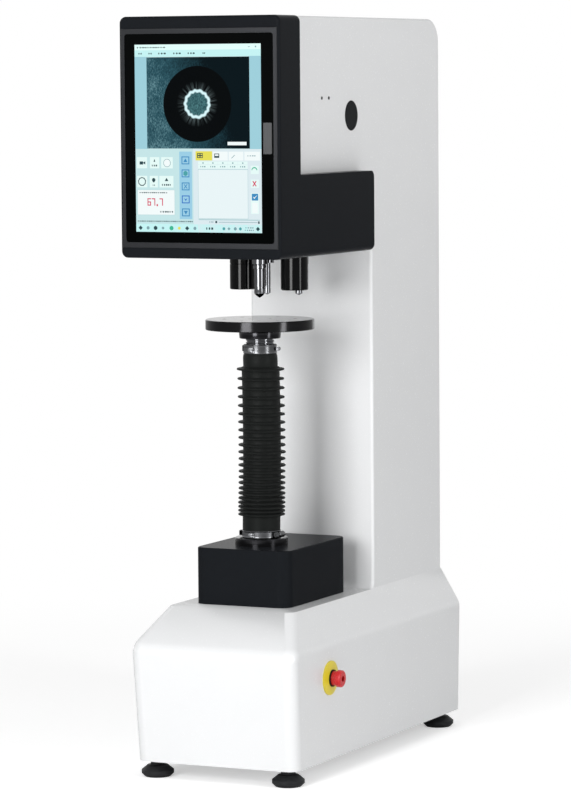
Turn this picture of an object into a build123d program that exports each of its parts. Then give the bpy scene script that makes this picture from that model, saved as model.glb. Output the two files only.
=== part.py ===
from build123d import *
import os
from math import atan2, cos, radians, sin, tan

# Bench hardness tester with a motorised elevating screw and a five-station turret.
# Millimetres. X points right, Y to the back and Z up. The origin is on the floor, under
# the axis of the elevating screw, which is also the line of the test force.

os.makedirs("parts", exist_ok=True)

# ---------------------------------------------------------------- driving dimensions

# Clearances.
seat_gap = 0.1          # between fixed pieces that seat in each other
running_gap = 0.05      # radial, at a shaft that turns or slides
free_gap = 0.3          # between pieces that pass without touching

# Frame casting.
foot_height = 22.5              # floor to the underside of the base
base_bottom_width = 238.6
base_crease_width = 244.6       # where the shoulders begin
base_crease_height = 179.0      # above the floor
base_top_height = 228.0         # above the floor
base_bottom_reach = 149.0       # screw axis forward to the foot of the front face
base_crease_reach = 163.0
base_top_reach = 103.0
rear_reach = 408.0              # screw axis back to the rear face
throat_depth = 166.0            # screw axis back to the column
column_width = 186.5            # also of the base top and the head arm
head_bottom_height = 702.0      # above the floor
head_height = 318.0             # underside to top of the head
head_arm_reach = 117.0          # screw axis forward to the front of the head arm
wall = 8.0
crease_radius = 22.0
base_corner_radius = 17.0
column_foot_radius = 10.0
throat_radius = 8.0
rear_top_radius = 35.0
column_edge_radius = 4.0
cavity_corner_radius = 6.0
ceiling_drop = 13.7             # crease down to the ceiling of the base's hollow
cut_overlap = 1.0               # of two hollows that run into each other

# Openings of the casting.
bottom_plate_thickness = 5.0
bottom_plate_ledge = 3.0
service_window_width = 140.0
service_window_bottom = 262.0
service_window_drop = 58.0      # top of the frame down to the window
rear_cover_thickness = 2.0
rear_cover_overlap = 12.0
rear_cover_corner_radius = 8.0
cover_screw_radius = 2.5
cover_screw_head_radius = 4.5
cover_screw_head_height = 2.4
cover_screw_length = 9.0
cover_screw_rows = 4
turret_opening_radius = 68.0

# Levelling feet.
foot_pad_radius = 22.0
foot_pad_waist_height = 9.0
foot_pad_sole_radius = 17.5
foot_pad_top_height = 15.5
foot_pad_top_radius = 14.0
foot_inset = 22.0               # from the sides and the front and rear of the underside
foot_stud_radius = 6.0
foot_stud_height = 60.0         # floor to the top of the stud
foot_boss_radius = 20.0
foot_boss_height = 46.0
lock_nut_radius = 11.0
lock_nut_height = 6.0

# Elevating screw, its nut and the housing over them.
housing_width = 140.4
housing_height = 77.0
housing_front_reach = 67.0
housing_rear_reach = 128.5
housing_corner_radius = 17.0
housing_roof = 14.0
housing_edge_radius = 2.0
screw_radius = 18.0
screw_tail = 52.0               # length of screw below the top of the base, at rest
screw_end_chamfer = 1.5
keyway_width = 6.0
keyway_depth = 3.5
nut_sleeve_radius = 30.0
nut_collar_radius = 35.0
nut_journal_radius = 26.0
nut_hole_clearance = 6.0
nut_top_gap = 1.0
bearing_radius = 45.0
bearing_height = 13.0
bearing_inset = 3.0             # lower bearing above the top of the base
bearing_ledge = 4.0
key_bush_radius = 26.0
key_root = 2.0                  # of the key in its bush
nut_pulley_radius = 50.0
nut_pulley_height = 18.0
pulley_flange = 2.0
pulley_flange_rim = 5.0
pulley_drop = 20.0              # top of the base down to the pulleys
belt_thickness = 3.0
belt_edge_gap = 1.0             # belt inside the width of a pulley without flanges

# Elevating motor.
motor_pulley_radius = 20.0
motor_distance = 205.0          # screw axis back to the motor shaft
motor_width = 86.0
motor_length = 100.0
motor_shaft_radius = 7.0
motor_corner_radius = 6.0
motor_shaft_depth = 16.0
shaft_end_gap = 1.0             # between the end of a shaft and its hole
motor_bracket_thickness = 8.0
motor_bracket_length = 140.0
bracket_shaft_clearance = 5.0

# Bellows.
bellows_flange_radius = 36.0
bellows_flange_height = 10.0
flange_edge_chamfer = 1.0
flange_bore_clearance = 1.0
spigot_radius = 23.4
spigot_height = 28.0
lower_cuff_height = 35.0
bellows_wall = 2.0
bellows_body_radius = 25.35
bellows_fin_radius = 32.3
bellows_fin_thickness = 1.6
bellows_fin_count = 23
bellows_fin_root = 1.0          # of a fin inside the body
bellows_fin_crowding = 2.6      # top pitch divided by bottom pitch
bellows_pleat_bottom = 35.0     # above the flange
bellows_pleat_top = 232.0       # above the flange
bellows_top = 263.0             # above the flange
bellows_shoulder = 5.0
upper_cuff_wall = 4.0
clamp_height = 12.0
clamp_band = 1.5
clamp_box_length = 12.0
clamp_box_height = 9.0
clamp_box_width = 16.0
clamp_lift = 1.0                # lower clamp above the flange
lower_clamp_turn = -12.0        # degrees, screw box from +X
upper_clamp_turn = 10.0

# Table on the screw.
screw_neck = 13.0               # screw left bare over the bellows
seat_radius = 28.5
seat_height = 7.5
seat_foot_radius = 22.0
table_radius = 74.0
table_thickness = 14.0
table_edge_chamfer = 0.8
table_stem_radius = 9.5
table_stem_length = 35.0
table_bolt_circle = 96.0        # diameter
table_bolt_count = 6
table_bolt_radius = 2.5
table_bolt_turn = 25.0          # degrees, first hole from +X
spanner_hole_offset = 14.0
spanner_hole_radius = 2.0
spanner_hole_depth = 5.0

# Turret and what it carries.
station_radius = 41.0           # turret axis to the axis of each station
station_count = 5
test_gap = 28.5                 # table to indenter tip, at rest
turret_radius = 62.0
turret_thickness = 32.0
turret_edge_chamfer = 1.5
turret_recess = 4.0             # underside of the arm up to the underside of the drum
turret_shaft_radius = 15.0
turret_shaft_height = 44.0
turret_tail_radius = 6.0
turret_tail_height = 24.0
wide_objective_radius = 18.7
slim_objective_radius = 12.9
objective_drop = 51.0           # underside of the arm to the lens
objective_lens_inset = 3.5
objective_lens_depth = 1.5
objective_edge = 1.0
indenter_radius = 7.4
indenter_collar_radius = 9.0
indenter_collar_height = 9.0
indenter_groove_depth = 0.8
indenter_groove_width = 1.2
indenter_land = 7.0             # top of the cone to the groove
indenter_cone_height = 3.4
indenter_nose_height = 3.0
indenter_nose_radius = 4.6
rear_indenter_radius = 5.0
rear_indenter_rise = 0.0        # rear tips above the front tip
rear_cone_height = 1.2
rear_nose_height = 1.4
rear_nose_radius = 2.8
rear_collar_radius = 10.0
rear_collar_height = 21.0
spot_lamp_radius = 4.0
spot_lamp_edge = 0.6
spot_lamp_turn = 24.0           # degrees from the front station
spot_lamp_inset = 6.0           # nearer the turret axis than the stations
tool_seat_depth = 6.0           # height of each tool's shank inside the drum
tool_shank_radius = 6.0

# Press slide over the turret.
press_head_width = 116.0
press_head_front = 30.0
press_head_rear = 112.0
press_head_height = 46.0
press_head_gap = 2.0
press_head_corner_radius = 8.0
load_cell_radius = 23.0
load_cell_height = 30.0
load_cell_waist = 4.0
turret_motor_radius = 16.5
turret_motor_height = 28.0
carriage_width = 116.0
carriage_front = 34.0
carriage_height = 70.0
carriage_gap = 1.0              # to the guide's face
carriage_corner_chamfer = 8.0
press_screw_reach = 100.0       # force line back to the load screw
load_screw_radius = 10.0
load_screw_tail = 16.0          # screw below the carriage
rail_width = 15.0
rail_depth = 12.0
rail_offset = 35.0
rail_face = 150.0               # force line back to the guide's face
rail_overrun = 40.0
guide_thickness = 20.0
guide_width = 150.0
guide_shelf_depth = 130.0
guide_shelf_thickness = 12.0
guide_window_width = 110.0
screw_block_width = 90.0
screw_block_gap = 19.0
screw_block_height = 40.0
screw_block_front = 25.0        # load screw forward to the front of the block
load_pulley_radius = 40.0
load_pulley_height = 16.0
load_pulley_gap = 5.0
load_motor_pulley_radius = 16.0
load_motor_distance = 150.0     # load screw back to the motor shaft
load_motor_width = 80.0
load_motor_length = 100.0
load_motor_shaft_radius = 7.0

# Head housing and screen.
shell_width = 234.0
shell_front = 180.5             # screw axis forward to the front face
shell_wall = 4.0
arm_cover_reach = 121.5         # screw axis back to the end of the side covers
arm_cover_height = 109.0
shell_front_radius = 4.0
shell_corner_radius = 9.0
arm_cover_radius = 9.0
trim_width = 227.0
trim_bottom = 13.5              # above the underside of the head
trim_top_drop = 16.0            # top of the head down to the trim
trim_thickness = 5.0
trim_proud = 1.0
trim_edge_chamfer = 0.6
trim_side_bar = 5.25
trim_lower_bar = 7.5
trim_upper_bar = 7.0
glass_thickness = 3.0
glass_sunk = 1.0
glass_corner_radius = 4.0
screen_side_border = 16.25
screen_end_border = 14.0        # above and below the lit area
screen_shift = -1.7
panel_margin = 5.0
panel_thickness = 7.0
computer_margin = 7.0           # inside the lit area, on each side
computer_end_margin = 18.0
computer_thickness = 28.0
computer_corner_radius = 4.0

# Round plug and two screws on the right side of the head.
plug_reach = 98.4
plug_drop = 133.7               # top of the frame down to the plug
plug_radius = 20.5
plug_rim = 1.0
plug_edge_chamfer = 0.7
plug_body_radius = 18.0
plug_body_length = 7.0
side_screw_radius = 2.2
side_screw_proud = 0.6
side_screw_length = 7.0
side_screw_drop = 109.2         # top of the frame down to the screws
side_screw_front_reach = 2.3
side_screw_spacing = 22.6

# Emergency stop on the right side of the base.
estop_reach = 45.0              # screw axis forward to the button
estop_height = 134.6
estop_ring_radius = 23.2
estop_ring_thickness = 2.0
estop_ring_rise = 2.0           # dome of the ring's middle
estop_body_radius = 11.5
estop_neck_height = 6.0         # face of the casting to the end of the neck
estop_bore_radius = 10.2
estop_bore_depth = 5.0          # below the face of the casting
estop_nut_depth = 11.0          # below the face of the casting
estop_block_size = 26.0
estop_block_length = 24.0
estop_stem_radius = 4.0
estop_stem_depth = 19.0         # below the face of the casting
estop_travel = 4.0
estop_skirt_radius = 9.9
estop_skirt_gap = 5.5           # end of the neck to the rim of the button
estop_head_radius = 11.6
estop_head_height = 19.5        # face of the casting to the top of the button
estop_head_rounding = 2.5
estop_rim_bevel = 1.0
estop_head_roof = 4.0

# Mains inlet and switch on the rear of the base.
inlet_offset = 45.0             # from the middle, to the right as seen from behind
inlet_height = 80.0
inlet_width = 27.0
inlet_body_height = 20.0
inlet_flange_width = 48.0
inlet_flange_height = 27.0
inlet_flange_thickness = 3.0
inlet_corner_radius = 3.0
inlet_socket_radius = 2.0
inlet_depth = 24.0
inlet_wall = 2.0
inlet_socket_depth = 18.0
inlet_pin_length = 12.0
inlet_pin_width = 4.0
inlet_pin_thickness = 2.0
inlet_pin_spacing = 7.0
switch_offset = 45.0            # from the middle, to the left as seen from behind
switch_width = 22.0
switch_height = 28.0
switch_flange = 3.0
switch_flange_thickness = 2.0
switch_corner_radius = 2.0
switch_depth = 18.0
switch_wall = 2.0
rocker_radius = 10.5
rocker_tilt = 8.0               # degrees each side of level
rocker_pivot_depth = 6.0        # front of the flange to the pivot
rocker_dish = 4.0               # pivot out to the middle of the rocker's face
rocker_rise = 38.0              # degrees, pivot to the tips of the rocker
rocker_pin_radius = 1.5
rocker_pin_bite = 1.2

# Electrics on the bottom plate.
supply_width = 98.0
supply_length = 70.0
supply_height = 42.0
supply_edge_chamfer = 1.0
supply_offset = -20.0
supply_reach = 325.0
board_width = 62.0
board_length = 190.0
board_thickness = 1.6
board_standoff = 9.0
board_standoff_radius = 3.5
board_offset = 68.0
board_part_height = 14.0

# ---------------------------------------------------------------- derived places

half_column = column_width / 2
top_height = head_bottom_height + head_height
service_window_top = top_height - service_window_drop
trim_height = head_height - trim_bottom - trim_top_drop
glass_width = trim_width - 2 * trim_side_bar
glass_height = trim_height - trim_lower_bar - trim_upper_bar
glass_bottom = trim_bottom + trim_lower_bar
screen_width = glass_width - 2 * screen_side_border
screen_height = glass_height - 2 * screen_end_border
screen_bottom = glass_bottom + screen_end_border
plug_height = top_height - plug_drop
side_screw_height = top_height - side_screw_drop
plate_top = foot_height + bottom_plate_thickness
cavity_width = base_bottom_width - 2 * wall
cavity_front = base_bottom_reach - wall
cavity_ceiling = base_crease_height - ceiling_drop
housing_top = base_top_height + housing_height
flange_top = housing_top + bellows_flange_height
bellows_top_height = flange_top + bellows_top
screw_top = bellows_top_height + screw_neck
screw_bottom = base_top_height - screw_tail
seat_top = screw_top + seat_height
table_top = seat_top + table_thickness
tip_height = table_top + test_gap
pulley_top = base_top_height - pulley_drop
pulley_bottom = pulley_top - nut_pulley_height
turret_bottom = head_bottom_height + turret_recess
turret_top = turret_bottom + turret_thickness
lens_height = head_bottom_height - objective_drop
press_head_bottom = turret_top + press_head_gap
press_head_top = press_head_bottom + press_head_height
carriage_bottom = press_head_top + load_cell_height
carriage_top = carriage_bottom + carriage_height
screw_block_bottom = carriage_top + screw_block_gap
screw_block_top = screw_block_bottom + screw_block_height
load_pulley_bottom = screw_block_top + load_pulley_gap
load_pulley_top = load_pulley_bottom + load_pulley_height
shelf_top = screw_block_top
arm_floor = head_bottom_height + wall
arm_ceiling = top_height - wall
load_motor_reach = press_screw_reach + load_motor_distance
side_slope = atan2((base_crease_width - base_bottom_width) / 2, base_crease_height - foot_height)
estop_face = base_bottom_width / 2 + (estop_height - foot_height) * tan(side_slope)


def station(index):
    """Centre of a turret station, counted to the right from the front one."""
    turn = radians(360 / station_count * index - 90)
    return (station_radius * cos(turn), station_radius + station_radius * sin(turn))


def foot_places():
    """Centres of the four levelling feet."""
    side = base_bottom_width / 2 - foot_inset
    return [
        (x, y)
        for x in (-side, side)
        for y in (foot_inset - base_bottom_reach, rear_reach - foot_inset)
    ]


def cover_screw_places():
    """Centres of the rear cover's screws, as x and z."""
    side = (service_window_width + rear_cover_overlap) / 2
    span = service_window_top - service_window_bottom
    pitch = span / cover_screw_rows
    return [
        (x, service_window_bottom + (row + 0.5) * pitch)
        for x in (-side, side)
        for row in range(cover_screw_rows)
    ]


def foot_bosses(margin):
    """Sketch of the corner bosses over the feet, grown by a margin."""
    with BuildSketch() as bosses:
        for x, y in foot_places():
            outward = (Align.MIN if x > 0 else Align.MAX, Align.MIN if y > 0 else Align.MAX)
            with Locations((x, y)):
                Circle(foot_boss_radius + margin)
                Rectangle(foot_inset, foot_inset, align=outward)
    return bosses.sketch


def belt_loop(reach, back_radius, front_radius, margin):
    """Sketch of the outline round two pulleys, the back one at the given reach."""
    with BuildSketch() as loop:
        with BuildSketch(mode=Mode.PRIVATE) as rims:
            Circle(front_radius + margin)
            with Locations((0, reach)):
                Circle(back_radius + margin)
        make_hull(rims.edges())
    return loop.sketch


# ---------------------------------------------------------------- frame casting

with BuildPart() as base_form:
    with BuildSketch(Plane.YZ) as base_side:
        with BuildLine():
            Polyline(
                (-base_bottom_reach, foot_height),
                (-base_crease_reach, base_crease_height),
                (-base_top_reach, base_top_height),
                (rear_reach, base_top_height),
                (rear_reach, foot_height),
                close=True,
            )
        make_face()
        fillet(base_side.vertices().sort_by(Axis.X)[0], crease_radius)
    extrude(amount=base_crease_width, both=True)
    with BuildSketch(Plane.XZ) as base_front:
        with BuildLine():
            Polyline(
                (-base_bottom_width / 2, foot_height),
                (-base_crease_width / 2, base_crease_height),
                (-half_column, base_top_height),
                (half_column, base_top_height),
                (base_crease_width / 2, base_crease_height),
                (base_bottom_width / 2, foot_height),
                close=True,
            )
        make_face()
        widest = base_front.vertices().sort_by(Axis.X)
        fillet([widest[0], widest[-1]], crease_radius)
    extrude(amount=2 * rear_reach, both=True, mode=Mode.INTERSECT)
    hips = base_form.edges().filter_by(lambda edge: min(edge.bounding_box().size) > 0.2)
    fillet(hips, base_corner_radius)

with BuildPart() as column_form:
    with BuildSketch(Plane.YZ) as column_side:
        with BuildLine():
            Polyline(
                (0, base_crease_height),
                (0, base_top_height),
                (throat_depth, base_top_height),
                (throat_depth, head_bottom_height),
                (-head_arm_reach, head_bottom_height),
                (-head_arm_reach, top_height),
                (rear_reach, top_height),
                (rear_reach, base_crease_height),
                close=True,
            )
        make_face()
        foot_corner = column_side.vertices().sort_by_distance((throat_depth, base_top_height))[0]
        fillet(foot_corner, column_foot_radius)
        throat_corner = column_side.vertices().sort_by_distance((throat_depth, head_bottom_height))[0]
        fillet(throat_corner, throat_radius)
        rear_corner = column_side.vertices().sort_by_distance((rear_reach, top_height))[0]
        fillet(rear_corner, rear_top_radius)
    extrude(amount=half_column, both=True)
    outline_edges = (
        column_form.edges()
        .filter_by(lambda edge: abs(abs(edge.center().X) - half_column) < 0.01)
        .filter_by(lambda edge: edge.center().Z > base_top_height + column_foot_radius)
    )
    fillet(outline_edges, column_edge_radius)

estop_plane = Plane(
    origin=(estop_face, -estop_reach, estop_height),
    x_dir=(0, 1, 0),
    z_dir=(cos(side_slope), 0, -sin(side_slope)),
)

# On the rear face and looking back: its x runs to the left of the front view.
rear_plane = Plane(origin=(0, rear_reach, 0), x_dir=(-1, 0, 0), z_dir=(0, 1, 0))

with BuildPart() as frame_casting:
    add(base_form.part)
    add(column_form.part)
    # The hollow of the base, open below.
    with BuildSketch(Plane.XY.offset(foot_height)) as base_hollow:
        with Locations((0, (rear_reach - wall - cavity_front) / 2)):
            RectangleRounded(cavity_width, rear_reach - wall + cavity_front, cavity_corner_radius)
        add(foot_bosses(0), mode=Mode.SUBTRACT)
    extrude(amount=cavity_ceiling - foot_height, mode=Mode.SUBTRACT)
    with BuildSketch(Plane.XY.offset(foot_height)) as plate_rebate:
        with Locations((0, (rear_reach - wall - cavity_front) / 2)):
            RectangleRounded(
                cavity_width + 2 * bottom_plate_ledge,
                rear_reach - wall + cavity_front + 2 * bottom_plate_ledge,
                cavity_corner_radius + bottom_plate_ledge,
            )
        add(foot_bosses(0), mode=Mode.SUBTRACT)
    extrude(amount=bottom_plate_thickness, mode=Mode.SUBTRACT)
    # Above its boss, each foot corner is open again.
    with BuildSketch(Plane.XY.offset(foot_height + foot_boss_height)):
        with Locations((0, (rear_reach - wall - cavity_front) / 2)):
            RectangleRounded(cavity_width, rear_reach - wall + cavity_front, cavity_corner_radius)
    extrude(amount=cavity_ceiling - foot_height - foot_boss_height, mode=Mode.SUBTRACT)
    # The hollow that runs up the column and forward into the arm.
    with BuildSketch(Plane.YZ) as hollow_side:
        with BuildLine():
            Polyline(
                (wall - base_top_reach, cavity_ceiling - cut_overlap),
                (wall - base_top_reach, base_top_height - wall),
                (throat_depth + wall, base_top_height - wall),
                (throat_depth + wall, arm_floor),
                (wall - head_arm_reach, arm_floor),
                (wall - head_arm_reach, arm_ceiling),
                (rear_reach - wall, arm_ceiling),
                (rear_reach - wall, cavity_ceiling - cut_overlap),
                close=True,
            )
        make_face()
        hollow_corner = hollow_side.vertices().sort_by_distance((rear_reach, top_height))[0]
        fillet(hollow_corner, rear_top_radius - wall)
    extrude(amount=half_column - wall, both=True, mode=Mode.SUBTRACT)
    # Service window in the back.
    with BuildSketch(rear_plane):
        with Locations((0, (service_window_bottom + service_window_top) / 2)):
            RectangleRounded(
                service_window_width,
                service_window_top - service_window_bottom,
                rear_cover_corner_radius,
            )
    extrude(amount=-wall, mode=Mode.SUBTRACT)
    with Locations(rear_plane):
        with Locations(*cover_screw_places()):
            Hole(cover_screw_radius + running_gap, depth=wall)
    # Way down for the nut, and the round opening over the turret.
    with Locations((0, 0, base_top_height)):
        Hole(nut_sleeve_radius + nut_hole_clearance, depth=wall)
    with Locations((0, station_radius, arm_floor)):
        Hole(turret_opening_radius, depth=wall)
    # Tapped holes for the feet, from below.
    with Locations(*[(x, y, foot_height + foot_boss_height) for x, y in foot_places()]):
        Hole(foot_stud_radius + seat_gap, depth=foot_boss_height)
    # Seats of the plug, the two screws and the emergency stop on the right side.
    with BuildSketch(Plane.YZ.offset(half_column - wall)):
        with Locations((plug_reach, plug_height)):
            Circle(plug_body_radius + seat_gap)
        for step in (0, 1):
            with Locations((side_screw_front_reach + step * side_screw_spacing, side_screw_height)):
                Circle(side_screw_radius + seat_gap)
    extrude(amount=wall, mode=Mode.SUBTRACT)
    with BuildSketch(estop_plane):
        Circle(estop_body_radius + seat_gap)
    extrude(amount=-2 * wall, mode=Mode.SUBTRACT)
    # Seats of the mains inlet and the switch in the rear wall.
    with BuildSketch(rear_plane):
        with Locations((inlet_offset, inlet_height)):
            Rectangle(inlet_width + 2 * seat_gap, inlet_body_height + 2 * seat_gap)
        with Locations((-switch_offset, inlet_height)):
            Rectangle(switch_width + 2 * seat_gap, switch_height + 2 * seat_gap)
    extrude(amount=-wall, mode=Mode.SUBTRACT)
frame_casting.part.label = "frame_casting"
export_step(frame_casting.part, "parts/frame_casting.step")

with BuildPart() as base_bottom_plate:
    with BuildSketch(Plane.XY.offset(foot_height)):
        with Locations((0, (rear_reach - wall - cavity_front) / 2)):
            RectangleRounded(
                cavity_width + 2 * (bottom_plate_ledge - seat_gap),
                rear_reach - wall + cavity_front + 2 * (bottom_plate_ledge - seat_gap),
                cavity_corner_radius + bottom_plate_ledge,
            )
        add(foot_bosses(seat_gap), mode=Mode.SUBTRACT)
    extrude(amount=bottom_plate_thickness)
base_bottom_plate.part.label = "base_bottom_plate"
export_step(base_bottom_plate.part, "parts/base_bottom_plate.step")

cover_plane = rear_plane.offset(rear_cover_thickness)

with BuildPart() as rear_cover:
    with BuildSketch(rear_plane):
        with Locations((0, (service_window_bottom + service_window_top) / 2)):
            RectangleRounded(
                service_window_width + 2 * rear_cover_overlap,
                service_window_top - service_window_bottom + 2 * rear_cover_overlap,
                rear_cover_corner_radius,
            )
    extrude(amount=rear_cover_thickness)
    chamfer(rear_cover.faces().sort_by(Axis.Y)[-1].edges(), rear_cover_thickness / 3)
    with Locations(cover_plane):
        with Locations(*cover_screw_places()):
            Hole(cover_screw_radius + running_gap, depth=rear_cover_thickness)
rear_cover.part.label = "rear_cover"
export_step(rear_cover.part, "parts/rear_cover.step")

# Two columns of pan-head screws hold the rear cover by its rim.
with BuildPart() as rear_cover_screws:
    with BuildSketch(cover_plane):
        with Locations(*cover_screw_places()):
            Circle(cover_screw_head_radius)
    extrude(amount=cover_screw_head_height)
    fillet(rear_cover_screws.edges().group_by(Axis.Y)[-1], cover_screw_head_height / 2)
    with BuildSketch(cover_plane):
        with Locations(*cover_screw_places()):
            Circle(cover_screw_radius)
    extrude(amount=-cover_screw_length)
rear_cover_screws.part.label = "rear_cover_screws"
export_step(rear_cover_screws.part, "parts/rear_cover_screws.step")

# ---------------------------------------------------------------- levelling feet

with BuildPart() as foot:
    with BuildSketch(Plane.XZ):
        with BuildLine():
            Polyline(
                (0, 0),
                (foot_pad_sole_radius, 0),
                (foot_pad_radius, foot_pad_waist_height / 2),
                (foot_pad_radius, foot_pad_waist_height),
                (foot_pad_top_radius, foot_pad_top_height),
                (foot_stud_radius, foot_pad_top_height),
                (foot_stud_radius, foot_stud_height),
                (0, foot_stud_height),
                close=True,
            )
        make_face()
    revolve(axis=Axis.Z)

with BuildPart() as levelling_feet:
    with Locations(*foot_places()):
        add(foot.part)
levelling_feet.part.label = "levelling_feet"
export_step(levelling_feet.part, "parts/levelling_feet.step")

with BuildPart() as foot_lock_nuts:
    with BuildSketch(Plane.XY.offset(foot_height - lock_nut_height)):
        with Locations(*foot_places()):
            RegularPolygon(lock_nut_radius, 6)
            Circle(foot_stud_radius + seat_gap, mode=Mode.SUBTRACT)
    extrude(amount=lock_nut_height)
foot_lock_nuts.part.label = "foot_lock_nuts"
export_step(foot_lock_nuts.part, "parts/foot_lock_nuts.step")

# ---------------------------------------------------------------- elevating screw and nut

bore_height = housing_height - housing_roof
lower_bearing_bottom = base_top_height + bearing_inset
upper_bearing_bottom = base_top_height + bore_height - bearing_height

with BuildPart() as elevator_housing:
    with BuildSketch(Plane.XY.offset(base_top_height)) as housing_plan:
        with Locations((0, (housing_rear_reach - housing_front_reach) / 2)):
            RectangleRounded(
                housing_width, housing_rear_reach + housing_front_reach, housing_corner_radius
            )
    extrude(amount=housing_height)
    fillet(elevator_housing.faces().sort_by(Axis.Z)[-1].edges(), housing_edge_radius)
    with BuildSketch(Plane.XY.offset(base_top_height)):
        Circle(bearing_radius + seat_gap)
    extrude(amount=bore_height, mode=Mode.SUBTRACT)
    with BuildSketch(Plane.XY.offset(base_top_height + bore_height)):
        Circle(key_bush_radius + seat_gap)
    extrude(amount=housing_roof, mode=Mode.SUBTRACT)
    # Ledge that carries the lower bearing.
    with BuildSketch(Plane.XY.offset(base_top_height)):
        Circle(bearing_radius + seat_gap)
        Circle(bearing_radius - bearing_ledge, mode=Mode.SUBTRACT)
    extrude(amount=bearing_inset)
elevator_housing.part.label = "elevator_housing"
export_step(elevator_housing.part, "parts/elevator_housing.step")

with BuildPart() as nut_bearings:
    for bottom in (lower_bearing_bottom, upper_bearing_bottom):
        with BuildSketch(Plane.XY.offset(bottom)):
            Circle(bearing_radius)
            Circle(nut_sleeve_radius + running_gap, mode=Mode.SUBTRACT)
        extrude(amount=bearing_height)
nut_bearings.part.label = "nut_bearings"
export_step(nut_bearings.part, "parts/nut_bearings.step")

with BuildPart() as lift_nut:
    with BuildSketch(Plane.XZ):
        with BuildLine():
            Polyline(
                (screw_radius + running_gap, pulley_bottom),
                (nut_journal_radius, pulley_bottom),
                (nut_journal_radius, pulley_top),
                (nut_sleeve_radius, pulley_top),
                (nut_sleeve_radius, lower_bearing_bottom + bearing_height + running_gap),
                (nut_collar_radius, lower_bearing_bottom + bearing_height + running_gap),
                (nut_collar_radius, upper_bearing_bottom - running_gap),
                (nut_sleeve_radius, upper_bearing_bottom - running_gap),
                (nut_sleeve_radius, base_top_height + bore_height - nut_top_gap),
                (screw_radius + running_gap, base_top_height + bore_height - nut_top_gap),
                close=True,
            )
        make_face()
    revolve(axis=Axis.Z)
lift_nut.part.label = "lift_nut"
export_step(lift_nut.part, "parts/lift_nut.step")

with BuildPart() as nut_pulley:
    with BuildSketch(Plane.XZ):
        with BuildLine():
            Polyline(
                (nut_journal_radius, pulley_bottom),
                (nut_pulley_radius + pulley_flange_rim, pulley_bottom),
                (nut_pulley_radius + pulley_flange_rim, pulley_bottom + pulley_flange),
                (nut_pulley_radius, pulley_bottom + pulley_flange),
                (nut_pulley_radius, pulley_top - pulley_flange),
                (nut_pulley_radius + pulley_flange_rim, pulley_top - pulley_flange),
                (nut_pulley_radius + pulley_flange_rim, pulley_top),
                (nut_journal_radius, pulley_top),
                close=True,
            )
        make_face()
    revolve(axis=Axis.Z)
nut_pulley.part.label = "nut_pulley"
export_step(nut_pulley.part, "parts/nut_pulley.step")

# The key in the bush slides in the screw's keyway, so that the screw can't turn.
with BuildPart() as key_bush:
    with BuildSketch(Plane.XY.offset(base_top_height + bore_height)):
        Circle(key_bush_radius)
        Circle(screw_radius + free_gap, mode=Mode.SUBTRACT)
        with Locations((0, screw_radius + key_root)):
            Rectangle(
                keyway_width - 2 * free_gap,
                keyway_depth + key_root - free_gap,
                align=(Align.CENTER, Align.MAX),
            )
    extrude(amount=housing_roof)
key_bush.part.label = "key_bush"
export_step(key_bush.part, "parts/key_bush.step")

with BuildPart() as lead_screw:
    with BuildSketch(Plane.XY.offset(screw_bottom)):
        Circle(screw_radius)
    extrude(amount=screw_top - screw_bottom)
    chamfer(lead_screw.faces().sort_by(Axis.Z)[0].edges(), screw_end_chamfer)
    with BuildSketch(Plane.XY.offset(screw_bottom)):
        with Locations((0, screw_radius)):
            Rectangle(keyway_width, 2 * keyway_depth)
    extrude(amount=screw_top - screw_bottom - screw_neck - clamp_height, mode=Mode.SUBTRACT)
    with Locations((0, 0, screw_top)):
        Hole(table_stem_radius + seat_gap, depth=table_stem_length + shaft_end_gap)
lead_screw.part.label = "lead_screw"
export_step(lead_screw.part, "parts/lead_screw.step")

# ---------------------------------------------------------------- elevating motor

with BuildPart() as lift_motor:
    with BuildSketch(Plane.XY.offset(cavity_ceiling - motor_bracket_thickness)):
        with Locations((0, motor_distance)):
            RectangleRounded(motor_width, motor_width, motor_corner_radius)
    extrude(amount=-motor_length)
    with Locations((0, motor_distance, cavity_ceiling - motor_bracket_thickness)):
        Hole(motor_shaft_radius + running_gap, depth=motor_shaft_depth)
lift_motor.part.label = "lift_motor"
export_step(lift_motor.part, "parts/lift_motor.step")

# Plate across the base hollow, under the ledges on its two sides.
with BuildPart() as motor_bracket:
    with BuildSketch(Plane.XY.offset(cavity_ceiling - motor_bracket_thickness)):
        with Locations((0, motor_distance)):
            Rectangle(cavity_width - 2 * seat_gap, motor_bracket_length)
            Circle(motor_shaft_radius + bracket_shaft_clearance, mode=Mode.SUBTRACT)
    extrude(amount=motor_bracket_thickness)
motor_bracket.part.label = "motor_bracket"
export_step(motor_bracket.part, "parts/motor_bracket.step")

motor_shaft_end = cavity_ceiling - motor_bracket_thickness - motor_shaft_depth + shaft_end_gap

with BuildPart() as motor_pulley:
    with BuildSketch(Plane.XZ.offset(-motor_distance)):
        with BuildLine():
            Polyline(
                (0, motor_shaft_end),
                (motor_shaft_radius, motor_shaft_end),
                (motor_shaft_radius, pulley_bottom),
                (motor_pulley_radius + pulley_flange_rim, pulley_bottom),
                (motor_pulley_radius + pulley_flange_rim, pulley_bottom + pulley_flange),
                (motor_pulley_radius, pulley_bottom + pulley_flange),
                (motor_pulley_radius, pulley_top - pulley_flange),
                (motor_pulley_radius + pulley_flange_rim, pulley_top - pulley_flange),
                (motor_pulley_radius + pulley_flange_rim, pulley_top),
                (0, pulley_top),
                close=True,
            )
        make_face()
    revolve(axis=Axis((0, motor_distance, 0), (0, 0, 1)))
motor_pulley.part.label = "motor_pulley"
export_step(motor_pulley.part, "parts/motor_pulley.step")

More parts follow.
